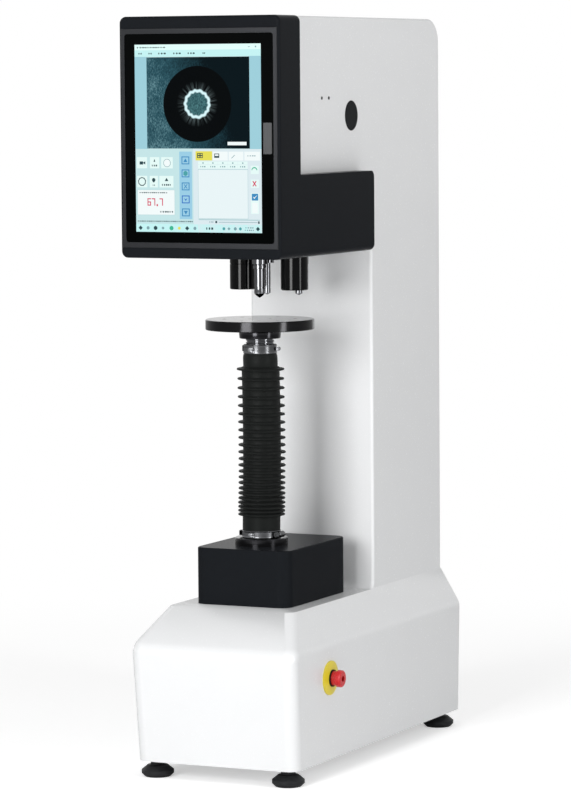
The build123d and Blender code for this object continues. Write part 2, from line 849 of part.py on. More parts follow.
with BuildPart() as lift_belt:
    with BuildSketch(Plane.XY.offset(pulley_bottom + pulley_flange + free_gap)):
        add(belt_loop(motor_distance, motor_pulley_radius, nut_pulley_radius, free_gap + belt_thickness))
        add(
            belt_loop(motor_distance, motor_pulley_radius, nut_pulley_radius, free_gap),
            mode=Mode.SUBTRACT,
        )
    extrude(amount=nut_pulley_height - 2 * pulley_flange - 2 * free_gap)
lift_belt.part.label = "lift_belt"
export_step(lift_belt.part, "parts/lift_belt.step")

# ---------------------------------------------------------------- bellows

with BuildPart() as bellows_flange:
    with BuildSketch(Plane.XY.offset(housing_top)):
        Circle(bellows_flange_radius)
    extrude(amount=bellows_flange_height)
    chamfer(bellows_flange.faces().sort_by(Axis.Z)[-1].edges(), flange_edge_chamfer)
    with BuildSketch(Plane.XY.offset(flange_top)):
        Circle(spigot_radius)
    extrude(amount=spigot_height)
    with BuildSketch(Plane.XY.offset(housing_top)):
        Circle(screw_radius + flange_bore_clearance)
    extrude(amount=bellows_flange_height + spigot_height, mode=Mode.SUBTRACT)
bellows_flange.part.label = "bellows_flange"
export_step(bellows_flange.part, "parts/bellows_flange.step")


def fin_heights():
    """Centres of the fins. Their pitch grows evenly from the bottom to the top."""
    gaps = bellows_fin_count - 1
    steps = [1 + (bellows_fin_crowding - 1) * (k / (gaps - 1)) for k in range(gaps)]
    scale = (bellows_pleat_top - bellows_pleat_bottom) / sum(steps)
    heights = [flange_top + bellows_pleat_bottom]
    for step in steps:
        heights.append(heights[-1] + step * scale)
    return heights


upper_cuff_radius = screw_radius + running_gap + upper_cuff_wall
lower_cuff_radius = spigot_radius + seat_gap + bellows_wall

with BuildPart() as bellows:
    with BuildSketch(Plane.XZ):
        with BuildLine():
            Polyline(
                (spigot_radius + seat_gap, flange_top),
                (lower_cuff_radius, flange_top),
                (lower_cuff_radius, flange_top + lower_cuff_height - bellows_fin_thickness),
                (bellows_body_radius, flange_top + lower_cuff_height),
                (bellows_body_radius, flange_top + bellows_pleat_top),
                (upper_cuff_radius, flange_top + bellows_pleat_top + bellows_shoulder),
                (upper_cuff_radius, bellows_top_height),
                (screw_radius + seat_gap, bellows_top_height),
                (screw_radius + seat_gap, flange_top + bellows_pleat_top + bellows_shoulder),
                (spigot_radius + seat_gap, flange_top + bellows_pleat_top - bellows_shoulder),
                close=True,
            )
        make_face()
    revolve(axis=Axis.Z)
    for height in fin_heights():
        with BuildSketch(Plane.XZ):
            with BuildLine():
                Polyline(
                    (bellows_body_radius - bellows_fin_root, height - bellows_fin_thickness),
                    (bellows_fin_radius, height - bellows_fin_thickness / 2),
                    (bellows_fin_radius, height + bellows_fin_thickness / 2),
                    (bellows_body_radius - bellows_fin_root, height + bellows_fin_thickness),
                    close=True,
                )
            make_face()
        revolve(axis=Axis.Z)
bellows.part.label = "bellows"
export_step(bellows.part, "parts/bellows.step")


def hose_clamp(inner_radius, bottom, turn):
    """Worm-drive band with its screw box, turned about the screw axis."""
    with BuildPart() as clamp:
        with BuildSketch(Plane.XY.offset(bottom)):
            Circle(inner_radius + seat_gap + clamp_band)
            Circle(inner_radius + seat_gap, mode=Mode.SUBTRACT)
        extrude(amount=clamp_height)
        with BuildSketch(Plane.XY.offset(bottom + (clamp_height - clamp_box_height) / 2)):
            with Locations((inner_radius + clamp_band, 0)):
                Rectangle(clamp_box_length, clamp_box_width, align=(Align.MIN, Align.CENTER))
        extrude(amount=clamp_box_height)
        fillet(clamp.edges().filter_by(Axis.Z).sort_by(Axis.X)[-2:], clamp_box_length / 4)
    return clamp.part.rotate(Axis.Z, turn)


with BuildPart() as lower_hose_clamp:
    add(hose_clamp(lower_cuff_radius, flange_top + clamp_lift, lower_clamp_turn))
lower_hose_clamp.part.label = "lower_hose_clamp"
export_step(lower_hose_clamp.part, "parts/lower_hose_clamp.step")

with BuildPart() as upper_hose_clamp:
    add(hose_clamp(upper_cuff_radius, bellows_top_height - clamp_height, upper_clamp_turn))
upper_hose_clamp.part.label = "upper_hose_clamp"
export_step(upper_hose_clamp.part, "parts/upper_hose_clamp.step")

# ---------------------------------------------------------------- test table

with BuildPart() as table_seat:
    with BuildSketch(Plane.XY.offset(screw_top)):
        Circle(seat_foot_radius)
    with BuildSketch(Plane.XY.offset(screw_top + seat_height / 2)):
        Circle(seat_radius)
    loft(ruled=True)
    with BuildSketch(Plane.XY.offset(screw_top + seat_height / 2)):
        Circle(seat_radius)
    extrude(amount=seat_height / 2)
    with Locations((0, 0, seat_top)):
        Hole(table_stem_radius + seat_gap, depth=seat_height)
table_seat.part.label = "table_seat"
export_step(table_seat.part, "parts/table_seat.step")

with BuildPart() as test_table:
    with BuildSketch(Plane.XY.offset(seat_top)):
        Circle(table_radius)
    extrude(amount=table_thickness)
    rims = test_table.edges().filter_by(GeomType.CIRCLE)
    chamfer(rims, table_edge_chamfer)
    with Locations((0, 0, table_top)):
        with PolarLocations(table_bolt_circle / 2, table_bolt_count, start_angle=table_bolt_turn):
            Hole(table_bolt_radius, depth=table_thickness)
        with PolarLocations(spanner_hole_offset, 2, start_angle=table_bolt_turn):
            Hole(spanner_hole_radius, depth=spanner_hole_depth)
    with BuildSketch(Plane.XY.offset(seat_top)):
        Circle(table_stem_radius)
    extrude(amount=-(seat_height + table_stem_length))
test_table.part.label = "test_table"
export_step(test_table.part, "parts/test_table.step")

# ---------------------------------------------------------------- turret and its tools

with BuildPart() as turret_drum:
    with BuildSketch(Plane.XY.offset(turret_bottom)):
        with Locations((0, station_radius)):
            Circle(turret_radius)
    extrude(amount=turret_thickness)
    chamfer(turret_drum.edges().filter_by(GeomType.CIRCLE), turret_edge_chamfer)
    with BuildSketch(Plane.XY.offset(turret_top)):
        with Locations((0, station_radius)):
            Circle(turret_shaft_radius)
    extrude(amount=turret_shaft_height)
    with BuildSketch(Plane.XY.offset(turret_top + turret_shaft_height)):
        with Locations((0, station_radius)):
            Circle(turret_tail_radius)
    extrude(amount=turret_tail_height)
    with Locations(*[(*station(k), turret_bottom + tool_seat_depth) for k in range(station_count)]):
        Hole(tool_shank_radius + seat_gap, depth=tool_seat_depth)
turret_drum.part.label = "turret_drum"
export_step(turret_drum.part, "parts/turret_drum.step")


def objective(radius, place):
    """Tube of an objective under the drum, with its lens set in the lower end."""
    with BuildPart() as tube:
        with BuildSketch(Plane.XY.offset(lens_height)):
            with Locations(place):
                Circle(radius)
        extrude(amount=turret_bottom - lens_height)
        chamfer(tube.faces().sort_by(Axis.Z)[0].edges(), objective_edge)
        with BuildSketch(Plane.XY.offset(lens_height)):
            with Locations(place):
                Circle(radius - objective_lens_inset)
        extrude(amount=objective_lens_depth, mode=Mode.SUBTRACT)
        with BuildSketch(Plane.XY.offset(turret_bottom)):
            with Locations(place):
                Circle(tool_shank_radius)
        extrude(amount=tool_seat_depth - seat_gap)
    return tube.part


def indenter(radius, collar_radius, collar_height, nose_radius, nose_height, cone_height, tip, place):
    """Indenter under the drum: collar, body with one groove, and a cone with a blunter nose."""
    shoulder = tip + nose_height + cone_height
    groove = shoulder + indenter_land
    with BuildPart() as tool:
        with BuildSketch(Plane.XZ.offset(-place[1])):
            with BuildLine():
                Polyline(
                    (place[0], tip),
                    (place[0] + nose_radius, tip + nose_height),
                    (place[0] + radius, shoulder),
                    (place[0] + radius, groove),
                    (place[0] + radius - indenter_groove_depth, groove),
                    (place[0] + radius - indenter_groove_depth, groove + indenter_groove_width),
                    (place[0] + radius, groove + indenter_groove_width),
                    (place[0] + radius, turret_bottom - collar_height),
                    (place[0] + collar_radius, turret_bottom - collar_height),
                    (place[0] + collar_radius, turret_bottom),
                    (place[0] + tool_shank_radius, turret_bottom),
                    (place[0] + tool_shank_radius, turret_bottom + tool_seat_depth - seat_gap),
                    (place[0], turret_bottom + tool_seat_depth - seat_gap),
                    close=True,
                )
            make_face()
        revolve(axis=Axis((*place, 0), (0, 0, 1)))
    return tool.part


with BuildPart() as diamond_indenter:
    add(
        indenter(
            indenter_radius,
            indenter_collar_radius,
            indenter_collar_height,
            indenter_nose_radius,
            indenter_nose_height,
            indenter_cone_height,
            tip_height,
            station(0),
        )
    )
diamond_indenter.part.label = "diamond_indenter"
export_step(diamond_indenter.part, "parts/diamond_indenter.step")

with BuildPart() as wide_objective:
    add(objective(wide_objective_radius, station(1)))
wide_objective.part.label = "wide_objective"
export_step(wide_objective.part, "parts/wide_objective.step")

with BuildPart() as slim_objective:
    add(objective(slim_objective_radius, station(station_count - 1)))
slim_objective.part.label = "slim_objective"
export_step(slim_objective.part, "parts/slim_objective.step")

with BuildPart() as ball_indenters:
    for index in range(2, station_count - 1):
        add(
            indenter(
                rear_indenter_radius,
                rear_collar_radius,
                rear_collar_height,
                rear_nose_radius,
                rear_nose_height,
                rear_cone_height,
                tip_height + rear_indenter_rise,
                station(index),
            )
        )
ball_indenters.part.label = "ball_indenters"
export_step(ball_indenters.part, "parts/ball_indenters.step")

lamp_turn = radians(-90 - spot_lamp_turn)
lamp_reach = station_radius - spot_lamp_inset

with BuildPart() as spot_lamp:
    with BuildSketch(Plane.XY.offset(lens_height)):
        with Locations((lamp_reach * cos(lamp_turn), station_radius + lamp_reach * sin(lamp_turn))):
            Circle(spot_lamp_radius)
    extrude(amount=turret_bottom - lens_height)
    chamfer(spot_lamp.faces().sort_by(Axis.Z)[0].edges(), spot_lamp_edge)
spot_lamp.part.label = "spot_lamp"
export_step(spot_lamp.part, "parts/spot_lamp.step")

# ---------------------------------------------------------------- press slide

press_head_middle = (press_head_rear - press_head_front) / 2

with BuildPart() as press_head:
    with BuildSketch(Plane.XY.offset(press_head_bottom)):
        with Locations((0, press_head_middle)):
            RectangleRounded(
                press_head_width, press_head_rear + press_head_front, press_head_corner_radius
            )
    extrude(amount=press_head_height)
    with Locations((0, station_radius, press_head_top)):
        Hole(turret_shaft_radius + running_gap, depth=press_head_height)
press_head.part.label = "press_head"
export_step(press_head.part, "parts/press_head.step")

with BuildPart() as load_cell:
    with BuildSketch(Plane.XZ):
        with BuildLine():
            Polyline(
                (0, press_head_top),
                (load_cell_radius, press_head_top),
                (load_cell_radius, press_head_top + load_cell_height / 3),
                (load_cell_radius - load_cell_waist, press_head_top + load_cell_height / 3),
                (load_cell_radius - load_cell_waist, carriage_bottom - load_cell_height / 3),
                (load_cell_radius, carriage_bottom - load_cell_height / 3),
                (load_cell_radius, carriage_bottom),
                (0, carriage_bottom),
                close=True,
            )
        make_face()
    revolve(axis=Axis.Z)
load_cell.part.label = "load_cell"
export_step(load_cell.part, "parts/load_cell.step")

# Hollow-shaft motor that turns the turret by the tail of its shaft.
with BuildPart() as turret_motor:
    with BuildSketch(Plane.XY.offset(press_head_top)):
        with Locations((0, station_radius)):
            Circle(turret_motor_radius)
            Circle(turret_tail_radius + running_gap, mode=Mode.SUBTRACT)
    extrude(amount=turret_motor_height)
turret_motor.part.label = "turret_motor"
export_step(turret_motor.part, "parts/turret_motor.step")

with BuildPart() as press_carriage:
    with BuildSketch(Plane.XY.offset(carriage_bottom)):
        with Locations((0, -carriage_front)):
            Rectangle(
                carriage_width, carriage_front + rail_face - carriage_gap, align=(Align.CENTER, Align.MIN)
            )
        for side in (-rail_offset, rail_offset):
            with Locations((side, rail_face)):
                Rectangle(
                    rail_width + 2 * running_gap,
                    rail_depth + free_gap,
                    align=(Align.CENTER, Align.MAX),
                    mode=Mode.SUBTRACT,
                )
        with Locations((0, press_screw_reach)):
            Circle(load_screw_radius + running_gap, mode=Mode.SUBTRACT)
    extrude(amount=carriage_height)
    front_edges = press_carriage.faces().sort_by(Axis.Y)[0].edges().filter_by(Axis.Z)
    chamfer(front_edges, carriage_corner_chamfer)
press_carriage.part.label = "press_carriage"
export_step(press_carriage.part, "parts/press_carriage.step")

with BuildPart() as guide_rails:
    with BuildSketch(Plane.XY.offset(carriage_bottom - rail_overrun)):
        with Locations((-rail_offset, rail_face), (rail_offset, rail_face)):
            Rectangle(rail_width, rail_depth, align=(Align.CENTER, Align.MAX))
    extrude(amount=carriage_height + rail_overrun + screw_block_gap)
guide_rails.part.label = "guide_rails"
export_step(guide_rails.part, "parts/guide_rails.step")

# Upright plate from the floor to the ceiling of the arm, with a shelf for the motor.
with BuildPart() as press_guide:
    with BuildSketch(Plane.XZ.offset(-rail_face)):
        with Locations((0, arm_floor)):
            Rectangle(guide_width, arm_ceiling - arm_floor, align=(Align.CENTER, Align.MIN))
        with Locations((0, (load_pulley_bottom + load_pulley_top) / 2)):
            Rectangle(
                guide_window_width, load_pulley_height + load_pulley_gap, mode=Mode.SUBTRACT
            )
    extrude(amount=-guide_thickness)
    with BuildSketch(Plane.XY.offset(shelf_top)):
        with Locations((0, rail_face + guide_thickness)):
            Rectangle(guide_width, guide_shelf_depth, align=(Align.CENTER, Align.MIN))
        with Locations((0, load_motor_reach)):
            Circle(load_motor_shaft_radius + bracket_shaft_clearance, mode=Mode.SUBTRACT)
    extrude(amount=-guide_shelf_thickness)
press_guide.part.label = "press_guide"
export_step(press_guide.part, "parts/press_guide.step")

with BuildPart() as load_screw_block:
    with BuildSketch(Plane.XY.offset(screw_block_bottom)):
        with Locations((0, rail_face)):
            Rectangle(
                screw_block_width,
                rail_face - press_screw_reach + screw_block_front,
                align=(Align.CENTER, Align.MAX),
            )
        with Locations((0, press_screw_reach)):
            Circle(load_screw_radius + running_gap, mode=Mode.SUBTRACT)
    extrude(amount=screw_block_height)
load_screw_block.part.label = "load_screw_block"
export_step(load_screw_block.part, "parts/load_screw_block.step")

with BuildPart() as load_screw:
    with BuildSketch(Plane.XY.offset(carriage_bottom - load_screw_tail)):
        with Locations((0, press_screw_reach)):
            Circle(load_screw_radius)
    extrude(amount=load_pulley_top - carriage_bottom + load_screw_tail)
load_screw.part.label = "load_screw"
export_step(load_screw.part, "parts/load_screw.step")

with BuildPart() as load_screw_pulley:
    with BuildSketch(Plane.XY.offset(load_pulley_bottom)):
        with Locations((0, press_screw_reach)):
            Circle(load_pulley_radius)
            Circle(load_screw_radius, mode=Mode.SUBTRACT)
    extrude(amount=load_pulley_height)
load_screw_pulley.part.label = "load_screw_pulley"
export_step(load_screw_pulley.part, "parts/load_screw_pulley.step")

with BuildPart() as load_motor:
    with BuildSketch(Plane.XY.offset(shelf_top - guide_shelf_thickness)):
        with Locations((0, load_motor_reach)):
            RectangleRounded(load_motor_width, load_motor_width, motor_corner_radius)
    extrude(amount=-load_motor_length)
    with Locations((0, load_motor_reach, shelf_top - guide_shelf_thickness)):
        Hole(load_motor_shaft_radius + running_gap, depth=motor_shaft_depth)
load_motor.part.label = "load_motor"
export_step(load_motor.part, "parts/load_motor.step")

with BuildPart() as load_motor_pulley:
    load_shaft_end = shelf_top - guide_shelf_thickness - motor_shaft_depth + shaft_end_gap
    with BuildSketch(Plane.XY.offset(load_shaft_end)):
        with Locations((0, load_motor_reach)):
            Circle(load_motor_shaft_radius)
    extrude(
        amount=load_pulley_top
        - shelf_top
        + guide_shelf_thickness
        + motor_shaft_depth
        - shaft_end_gap
    )
    with BuildSketch(Plane.XY.offset(load_pulley_bottom)):
        with Locations((0, load_motor_reach)):
            Circle(load_motor_pulley_radius)
    extrude(amount=load_pulley_height)
load_motor_pulley.part.label = "load_motor_pulley"
export_step(load_motor_pulley.part, "parts/load_motor_pulley.step")

with BuildPart() as load_belt:
    with BuildSketch(Plane.XY.offset(load_pulley_bottom + belt_edge_gap)):
        with Locations((0, press_screw_reach)):
            add(
                belt_loop(
                    load_motor_distance,
                    load_motor_pulley_radius,
                    load_pulley_radius,
                    free_gap + belt_thickness,
                )
            )
            add(
                belt_loop(load_motor_distance, load_motor_pulley_radius, load_pulley_radius, free_gap),
                mode=Mode.SUBTRACT,
            )
    extrude(amount=load_pulley_height - 2 * belt_edge_gap)
load_belt.part.label = "load_belt"
export_step(load_belt.part, "parts/load_belt.step")

# ---------------------------------------------------------------- head housing and screen

shell_depth = shell_front - head_arm_reach
trim_recess = trim_thickness - trim_proud
front_plane = Plane(origin=(0, -shell_front, head_bottom_height), x_dir=(1, 0, 0), z_dir=(0, -1, 0))
window_middle = trim_bottom + trim_height / 2
screen_middle = screen_bottom + screen_height / 2
glass_middle = glass_bottom + glass_height / 2

# Shell like a saddle over the arm: a box in front and a cover along each side.
with BuildPart() as head_housing:
    with BuildSketch(Plane.XY.offset(head_bottom_height)):
        with Locations((0, -shell_front)):
            Rectangle(shell_width, shell_depth, align=(Align.CENTER, Align.MIN))
    extrude(amount=top_height - head_bottom_height)
    with BuildSketch(Plane.YZ.offset(-shell_width / 2)) as cover_side:
        with Locations((-head_arm_reach, head_bottom_height)):
            Rectangle(head_arm_reach + arm_cover_reach, arm_cover_height, align=(Align.MIN, Align.MIN))
        fillet(cover_side.vertices().group_by(Axis.Y)[-1].sort_by(Axis.X)[-1], arm_cover_radius)
    extrude(amount=shell_width)
    levels = head_housing.edges().filter_by(Axis.Y).group_by(Axis.Z)
    fillet(levels[0] + levels[-1], shell_corner_radius)
    fillet(head_housing.faces().sort_by(Axis.Y)[0].outer_wire().edges(), shell_front_radius)
    with BuildSketch(Plane.XY.offset(head_bottom_height)):
        with Locations((0, -head_arm_reach)):
            Rectangle(
                column_width, head_arm_reach + arm_cover_reach, align=(Align.CENTER, Align.MIN)
            )
    extrude(amount=arm_cover_height, mode=Mode.SUBTRACT)
    # Room for the computer, closed at the back against the front of the arm.
    with BuildSketch(Plane.XY.offset(head_bottom_height + shell_wall)):
        with Locations((0, shell_wall + trim_thickness - shell_front)):
            Rectangle(
                shell_width - 2 * shell_wall,
                shell_depth - 2 * shell_wall - trim_thickness,
                align=(Align.CENTER, Align.MIN),
            )
    extrude(amount=top_height - head_bottom_height - 2 * shell_wall, mode=Mode.SUBTRACT)
    # Seat of the trim, and the window behind it.
    with BuildSketch(front_plane):
        with Locations((0, window_middle)):
            Rectangle(trim_width + 2 * seat_gap, trim_height + 2 * seat_gap)
    extrude(amount=-trim_recess, mode=Mode.SUBTRACT)
    with BuildSketch(front_plane):
        with Locations((screen_shift, screen_middle)):
            Rectangle(
                screen_width + 2 * panel_margin + 2 * seat_gap,
                screen_height + 2 * panel_margin + 2 * seat_gap,
            )
    extrude(amount=-(trim_thickness + shell_wall), mode=Mode.SUBTRACT)
head_housing.part.label = "head_housing"
export_step(head_housing.part, "parts/head_housing.step")

with BuildPart() as screen_trim:
    with BuildSketch(front_plane.offset(-trim_recess)):
        with Locations((0, window_middle)):
            Rectangle(trim_width, trim_height)
        with Locations((0, glass_middle)):
            RectangleRounded(
                glass_width + 2 * seat_gap,
                glass_height + 2 * seat_gap,
                glass_corner_radius,
                mode=Mode.SUBTRACT,
            )
    extrude(amount=trim_thickness)
    trim_front = screen_trim.faces().sort_by(Axis.Y)[0]
    chamfer(trim_front.outer_wire().edges(), trim_edge_chamfer)
screen_trim.part.label = "screen_trim"
export_step(screen_trim.part, "parts/screen_trim.step")

glass_back = trim_proud - glass_sunk - glass_thickness

with BuildPart() as screen_glass:
    with BuildSketch(front_plane.offset(glass_back)):
        with Locations((0, glass_middle)):
            RectangleRounded(glass_width, glass_height, glass_corner_radius)
    extrude(amount=glass_thickness)
screen_glass.part.label = "screen_glass"
export_step(screen_glass.part, "parts/screen_glass.step")

with BuildPart() as display_panel:
    with BuildSketch(front_plane.offset(glass_back)):
        with Locations((screen_shift, screen_middle)):
            Rectangle(screen_width + 2 * panel_margin, screen_height + 2 * panel_margin)
    extrude(amount=-panel_thickness)
display_panel.part.label = "display_panel"
export_step(display_panel.part, "parts/display_panel.step")

with BuildPart() as panel_computer:
    with BuildSketch(front_plane.offset(glass_back - panel_thickness)):
        with Locations((screen_shift, screen_middle)):
            RectangleRounded(
                screen_width - 2 * computer_margin,
                screen_height - 2 * computer_end_margin,
                computer_corner_radius,
            )
    extrude(amount=-computer_thickness)
panel_computer.part.label = "panel_computer"
export_step(panel_computer.part, "parts/panel_computer.step")

# ---------------------------------------------------------------- side plug and screws

side_plane = Plane.YZ.offset(half_column)

with BuildPart() as side_plug:
    with BuildSketch(side_plane):
        with Locations((plug_reach, plug_height)):
            Circle(plug_radius)
    extrude(amount=plug_rim)
    chamfer(side_plug.faces().sort_by(Axis.X)[-1].edges(), plug_edge_chamfer)
    with BuildSketch(side_plane):
        with Locations((plug_reach, plug_height)):
            Circle(plug_body_radius)
    extrude(amount=-plug_body_length)
side_plug.part.label = "side_plug"
export_step(side_plug.part, "parts/side_plug.step")

with BuildPart() as side_screws:
    with BuildSketch(side_plane.offset(side_screw_proud)):
        for step in (0, 1):
            with Locations((side_screw_front_reach + step * side_screw_spacing, side_screw_height)):
                Circle(side_screw_radius)
    extrude(amount=-side_screw_length)
side_screws.part.label = "side_screws"
export_step(side_screws.part, "parts/side_screws.step")

# ---------------------------------------------------------------- emergency stop

# Drawn beside the button's axis: across it and along it, away from the casting.
estop_section = Plane(
    origin=estop_plane.origin, x_dir=(0, 1, 0), z_dir=(-sin(side_slope), 0, -cos(side_slope))
)
estop_axis = Axis(estop_plane.origin, estop_plane.z_dir)

with BuildPart() as estop_ring:
    with BuildSketch(estop_section):
        with BuildLine():
            Polyline(
                (estop_body_radius + seat_gap, 0),
                (estop_ring_radius, 0),
                (estop_ring_radius, estop_ring_thickness),
                (estop_body_radius + seat_gap, estop_ring_thickness + estop_ring_rise),
                close=True,
            )
        make_face()
    revolve(axis=estop_axis)
estop_ring.part.label = "estop_ring"
export_step(estop_ring.part, "parts/estop_ring.step")

with BuildPart() as estop_body:
    with BuildSketch(estop_plane.offset(estop_neck_height)):
        Circle(estop_body_radius)
    extrude(amount=-(estop_neck_height + estop_nut_depth))
    with BuildSketch(estop_plane.offset(-estop_nut_depth)):
        Rectangle(estop_block_size, estop_block_size)
    extrude(amount=-estop_block_length)
    with Locations(estop_plane.offset(estop_neck_height)):
        Hole(estop_bore_radius, depth=estop_neck_height + estop_bore_depth)
    with Locations(estop_plane.offset(-estop_bore_depth)):
        stem_run = estop_stem_depth - estop_bore_depth + 2 * estop_travel
        Hole(estop_stem_radius + running_gap, depth=stem_run)
estop_body.part.label = "estop_body"
export_step(estop_body.part, "parts/estop_body.step")

with BuildPart() as estop_stem:
    with BuildSketch(estop_plane.offset(-estop_stem_depth)):
        Circle(estop_stem_radius)
    extrude(amount=estop_stem_depth + estop_head_height - estop_head_roof)
estop_stem.part.label = "estop_stem"
export_step(estop_stem.part, "parts/estop_stem.step")

with BuildPart() as estop_head:
    with BuildSketch(estop_section) as head_section:
        with BuildLine():
            Polyline(
                (0, estop_travel - estop_bore_depth + free_gap),
                (estop_skirt_radius, estop_travel - estop_bore_depth + free_gap),
                (estop_skirt_radius, estop_neck_height + estop_skirt_gap),
                (estop_head_radius, estop_neck_height + estop_skirt_gap + estop_rim_bevel),
                (estop_head_radius, estop_head_height),
                (0, estop_head_height),
                close=True,
            )
        make_face()
        crown = head_section.vertices().sort_by_distance((estop_head_radius, estop_head_height))[0]
        fillet(crown, estop_head_rounding)
    revolve(axis=estop_axis)
    with Locations(estop_plane.offset(estop_head_height - estop_head_roof + running_gap)):
        Hole(estop_stem_radius + running_gap, depth=estop_head_height + estop_bore_depth)
estop_head.part.label = "estop_head"
export_step(estop_head.part, "parts/estop_head.step")

# ---------------------------------------------------------------- mains inlet and switch

with BuildPart() as mains_inlet:
    with BuildSketch(rear_plane):
        with Locations((inlet_offset, inlet_height)):
            RectangleRounded(inlet_flange_width, inlet_flange_height, inlet_corner_radius)
    extrude(amount=inlet_flange_thickness)
    with BuildSketch(rear_plane):
        with Locations((inlet_offset, inlet_height)):
            Rectangle(inlet_width, inlet_body_height)
    extrude(amount=-inlet_depth)
    with BuildSketch(rear_plane.offset(inlet_flange_thickness)):
        with Locations((inlet_offset, inlet_height)):
            RectangleRounded(
                inlet_width - 2 * inlet_wall,
                inlet_body_height - 2 * inlet_wall,
                inlet_socket_radius,
            )
    extrude(amount=-inlet_socket_depth, mode=Mode.SUBTRACT)
    with BuildSketch(rear_plane.offset(inlet_flange_thickness - inlet_socket_depth)):
        with Locations(
            (inlet_offset - inlet_pin_spacing, inlet_height - inlet_pin_thickness),
            (inlet_offset + inlet_pin_spacing, inlet_height - inlet_pin_thickness),
            (inlet_offset, inlet_height + inlet_pin_thickness),
        ):
            Rectangle(inlet_pin_thickness, inlet_pin_width)
    extrude(amount=inlet_pin_length)
mains_inlet.part.label = "mains_inlet"
export_step(mains_inlet.part, "parts/mains_inlet.step")

rocker_pivot = (rear_reach + switch_flange_thickness - rocker_pivot_depth, inlet_height)

with BuildPart() as switch_frame:
    with BuildSketch(rear_plane):
        with Locations((-switch_offset, inlet_height)):
            RectangleRounded(
                switch_width + 2 * switch_flange,
                switch_height + 2 * switch_flange,
                switch_corner_radius,
            )
    extrude(amount=switch_flange_thickness)
    with BuildSketch(rear_plane):
        with Locations((-switch_offset, inlet_height)):
            Rectangle(switch_width, switch_height)
    extrude(amount=-switch_depth)
    with BuildSketch(rear_plane.offset(switch_flange_thickness)):
        with Locations((-switch_offset, inlet_height)):
            Rectangle(switch_width - 2 * switch_wall, switch_height - 2 * switch_wall)
    extrude(amount=-(switch_flange_thickness + switch_depth - switch_wall), mode=Mode.SUBTRACT)
    with BuildSketch(Plane.YZ.offset(switch_offset)):
        with Locations(rocker_pivot):
            Circle(rocker_pin_radius + running_gap)
    extrude(
        amount=switch_width / 2 - switch_wall + rocker_pin_bite + seat_gap,
        both=True,
        mode=Mode.SUBTRACT,
    )
switch_frame.part.label = "switch_frame"
export_step(switch_frame.part, "parts/switch_frame.step")

# At the pivot, with x out of the rocker's face and the rocker tipped to one side.
rocker_plane = Plane(
    origin=(switch_offset, *rocker_pivot),
    x_dir=(0, cos(radians(rocker_tilt)), sin(radians(rocker_tilt))),
    z_dir=(1, 0, 0),
)
rocker_tip_out = rocker_radius * sin(radians(rocker_rise))
rocker_tip_up = rocker_radius * cos(radians(rocker_rise))

with BuildPart() as power_rocker:
    with BuildSketch(rocker_plane):
        with BuildLine():
            Polyline(
                (rocker_dish, 0),
                (rocker_tip_out, rocker_tip_up),
                (-2 * rocker_pin_radius, rocker_tip_up),
                (-2 * rocker_pin_radius, -rocker_tip_up),
                (rocker_tip_out, -rocker_tip_up),
                close=True,
            )
        make_face()
    extrude(amount=switch_width / 2 - switch_wall - free_gap, both=True)
    with BuildSketch(Plane.YZ.offset(switch_offset)):
        with Locations(rocker_pivot):
            Circle(rocker_pin_radius)
    extrude(amount=switch_width / 2 - switch_wall + rocker_pin_bite, both=True)
power_rocker.part.label = "power_rocker"
export_step(power_rocker.part, "parts/power_rocker.step")

# ---------------------------------------------------------------- electrics in the base

with BuildPart() as power_supply:
    with BuildSketch(Plane.XY.offset(plate_top)):
        with Locations((supply_offset, supply_reach)):
            Rectangle(supply_width, supply_length)
    extrude(amount=supply_height)
    chamfer(power_supply.edges().filter_by(Axis.Z), supply_edge_chamfer)
power_supply.part.label = "power_supply"
export_step(power_supply.part, "parts/power_supply.step")

with BuildPart() as control_board:
    with BuildSketch(Plane.XY.offset(plate_top)):
        with Locations((board_offset, 0)):
            with GridLocations(
                board_width - 3 * board_standoff_radius, board_length - 3 * board_standoff_radius, 2, 2
            ):
                Circle(board_standoff_radius)
    extrude(amount=board_standoff)
    with BuildSketch(Plane.XY.offset(plate_top + board_standoff)):
        with Locations((board_offset, 0)):
            Rectangle(board_width, board_length)
    extrude(amount=board_thickness)
    with BuildSketch(Plane.XY.offset(plate_top + board_standoff + board_thickness)):
        with Locations((board_offset, 0)):
            with GridLocations(board_width / 2, board_length / 4, 2, 3):
                Rectangle(board_width / 4, board_length / 8)
    extrude(amount=board_part_height)
control_board.part.label = "control_board"
export_step(control_board.part, "parts/control_board.step")
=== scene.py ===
"""Bench hardness tester: finishes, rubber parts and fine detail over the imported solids.

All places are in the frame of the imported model, X to the right, Y to the back and Z up,
with the origin on the floor under the axis of the elevating screw. Sizes are held in
millimetres and become metres when a mesh is made.
"""

import logging
import math
from collections.abc import Callable
from dataclasses import dataclass, field
from enum import Enum
from functools import partial

import bmesh
import bpy
import numpy as np
from mathutils import Matrix, Vector


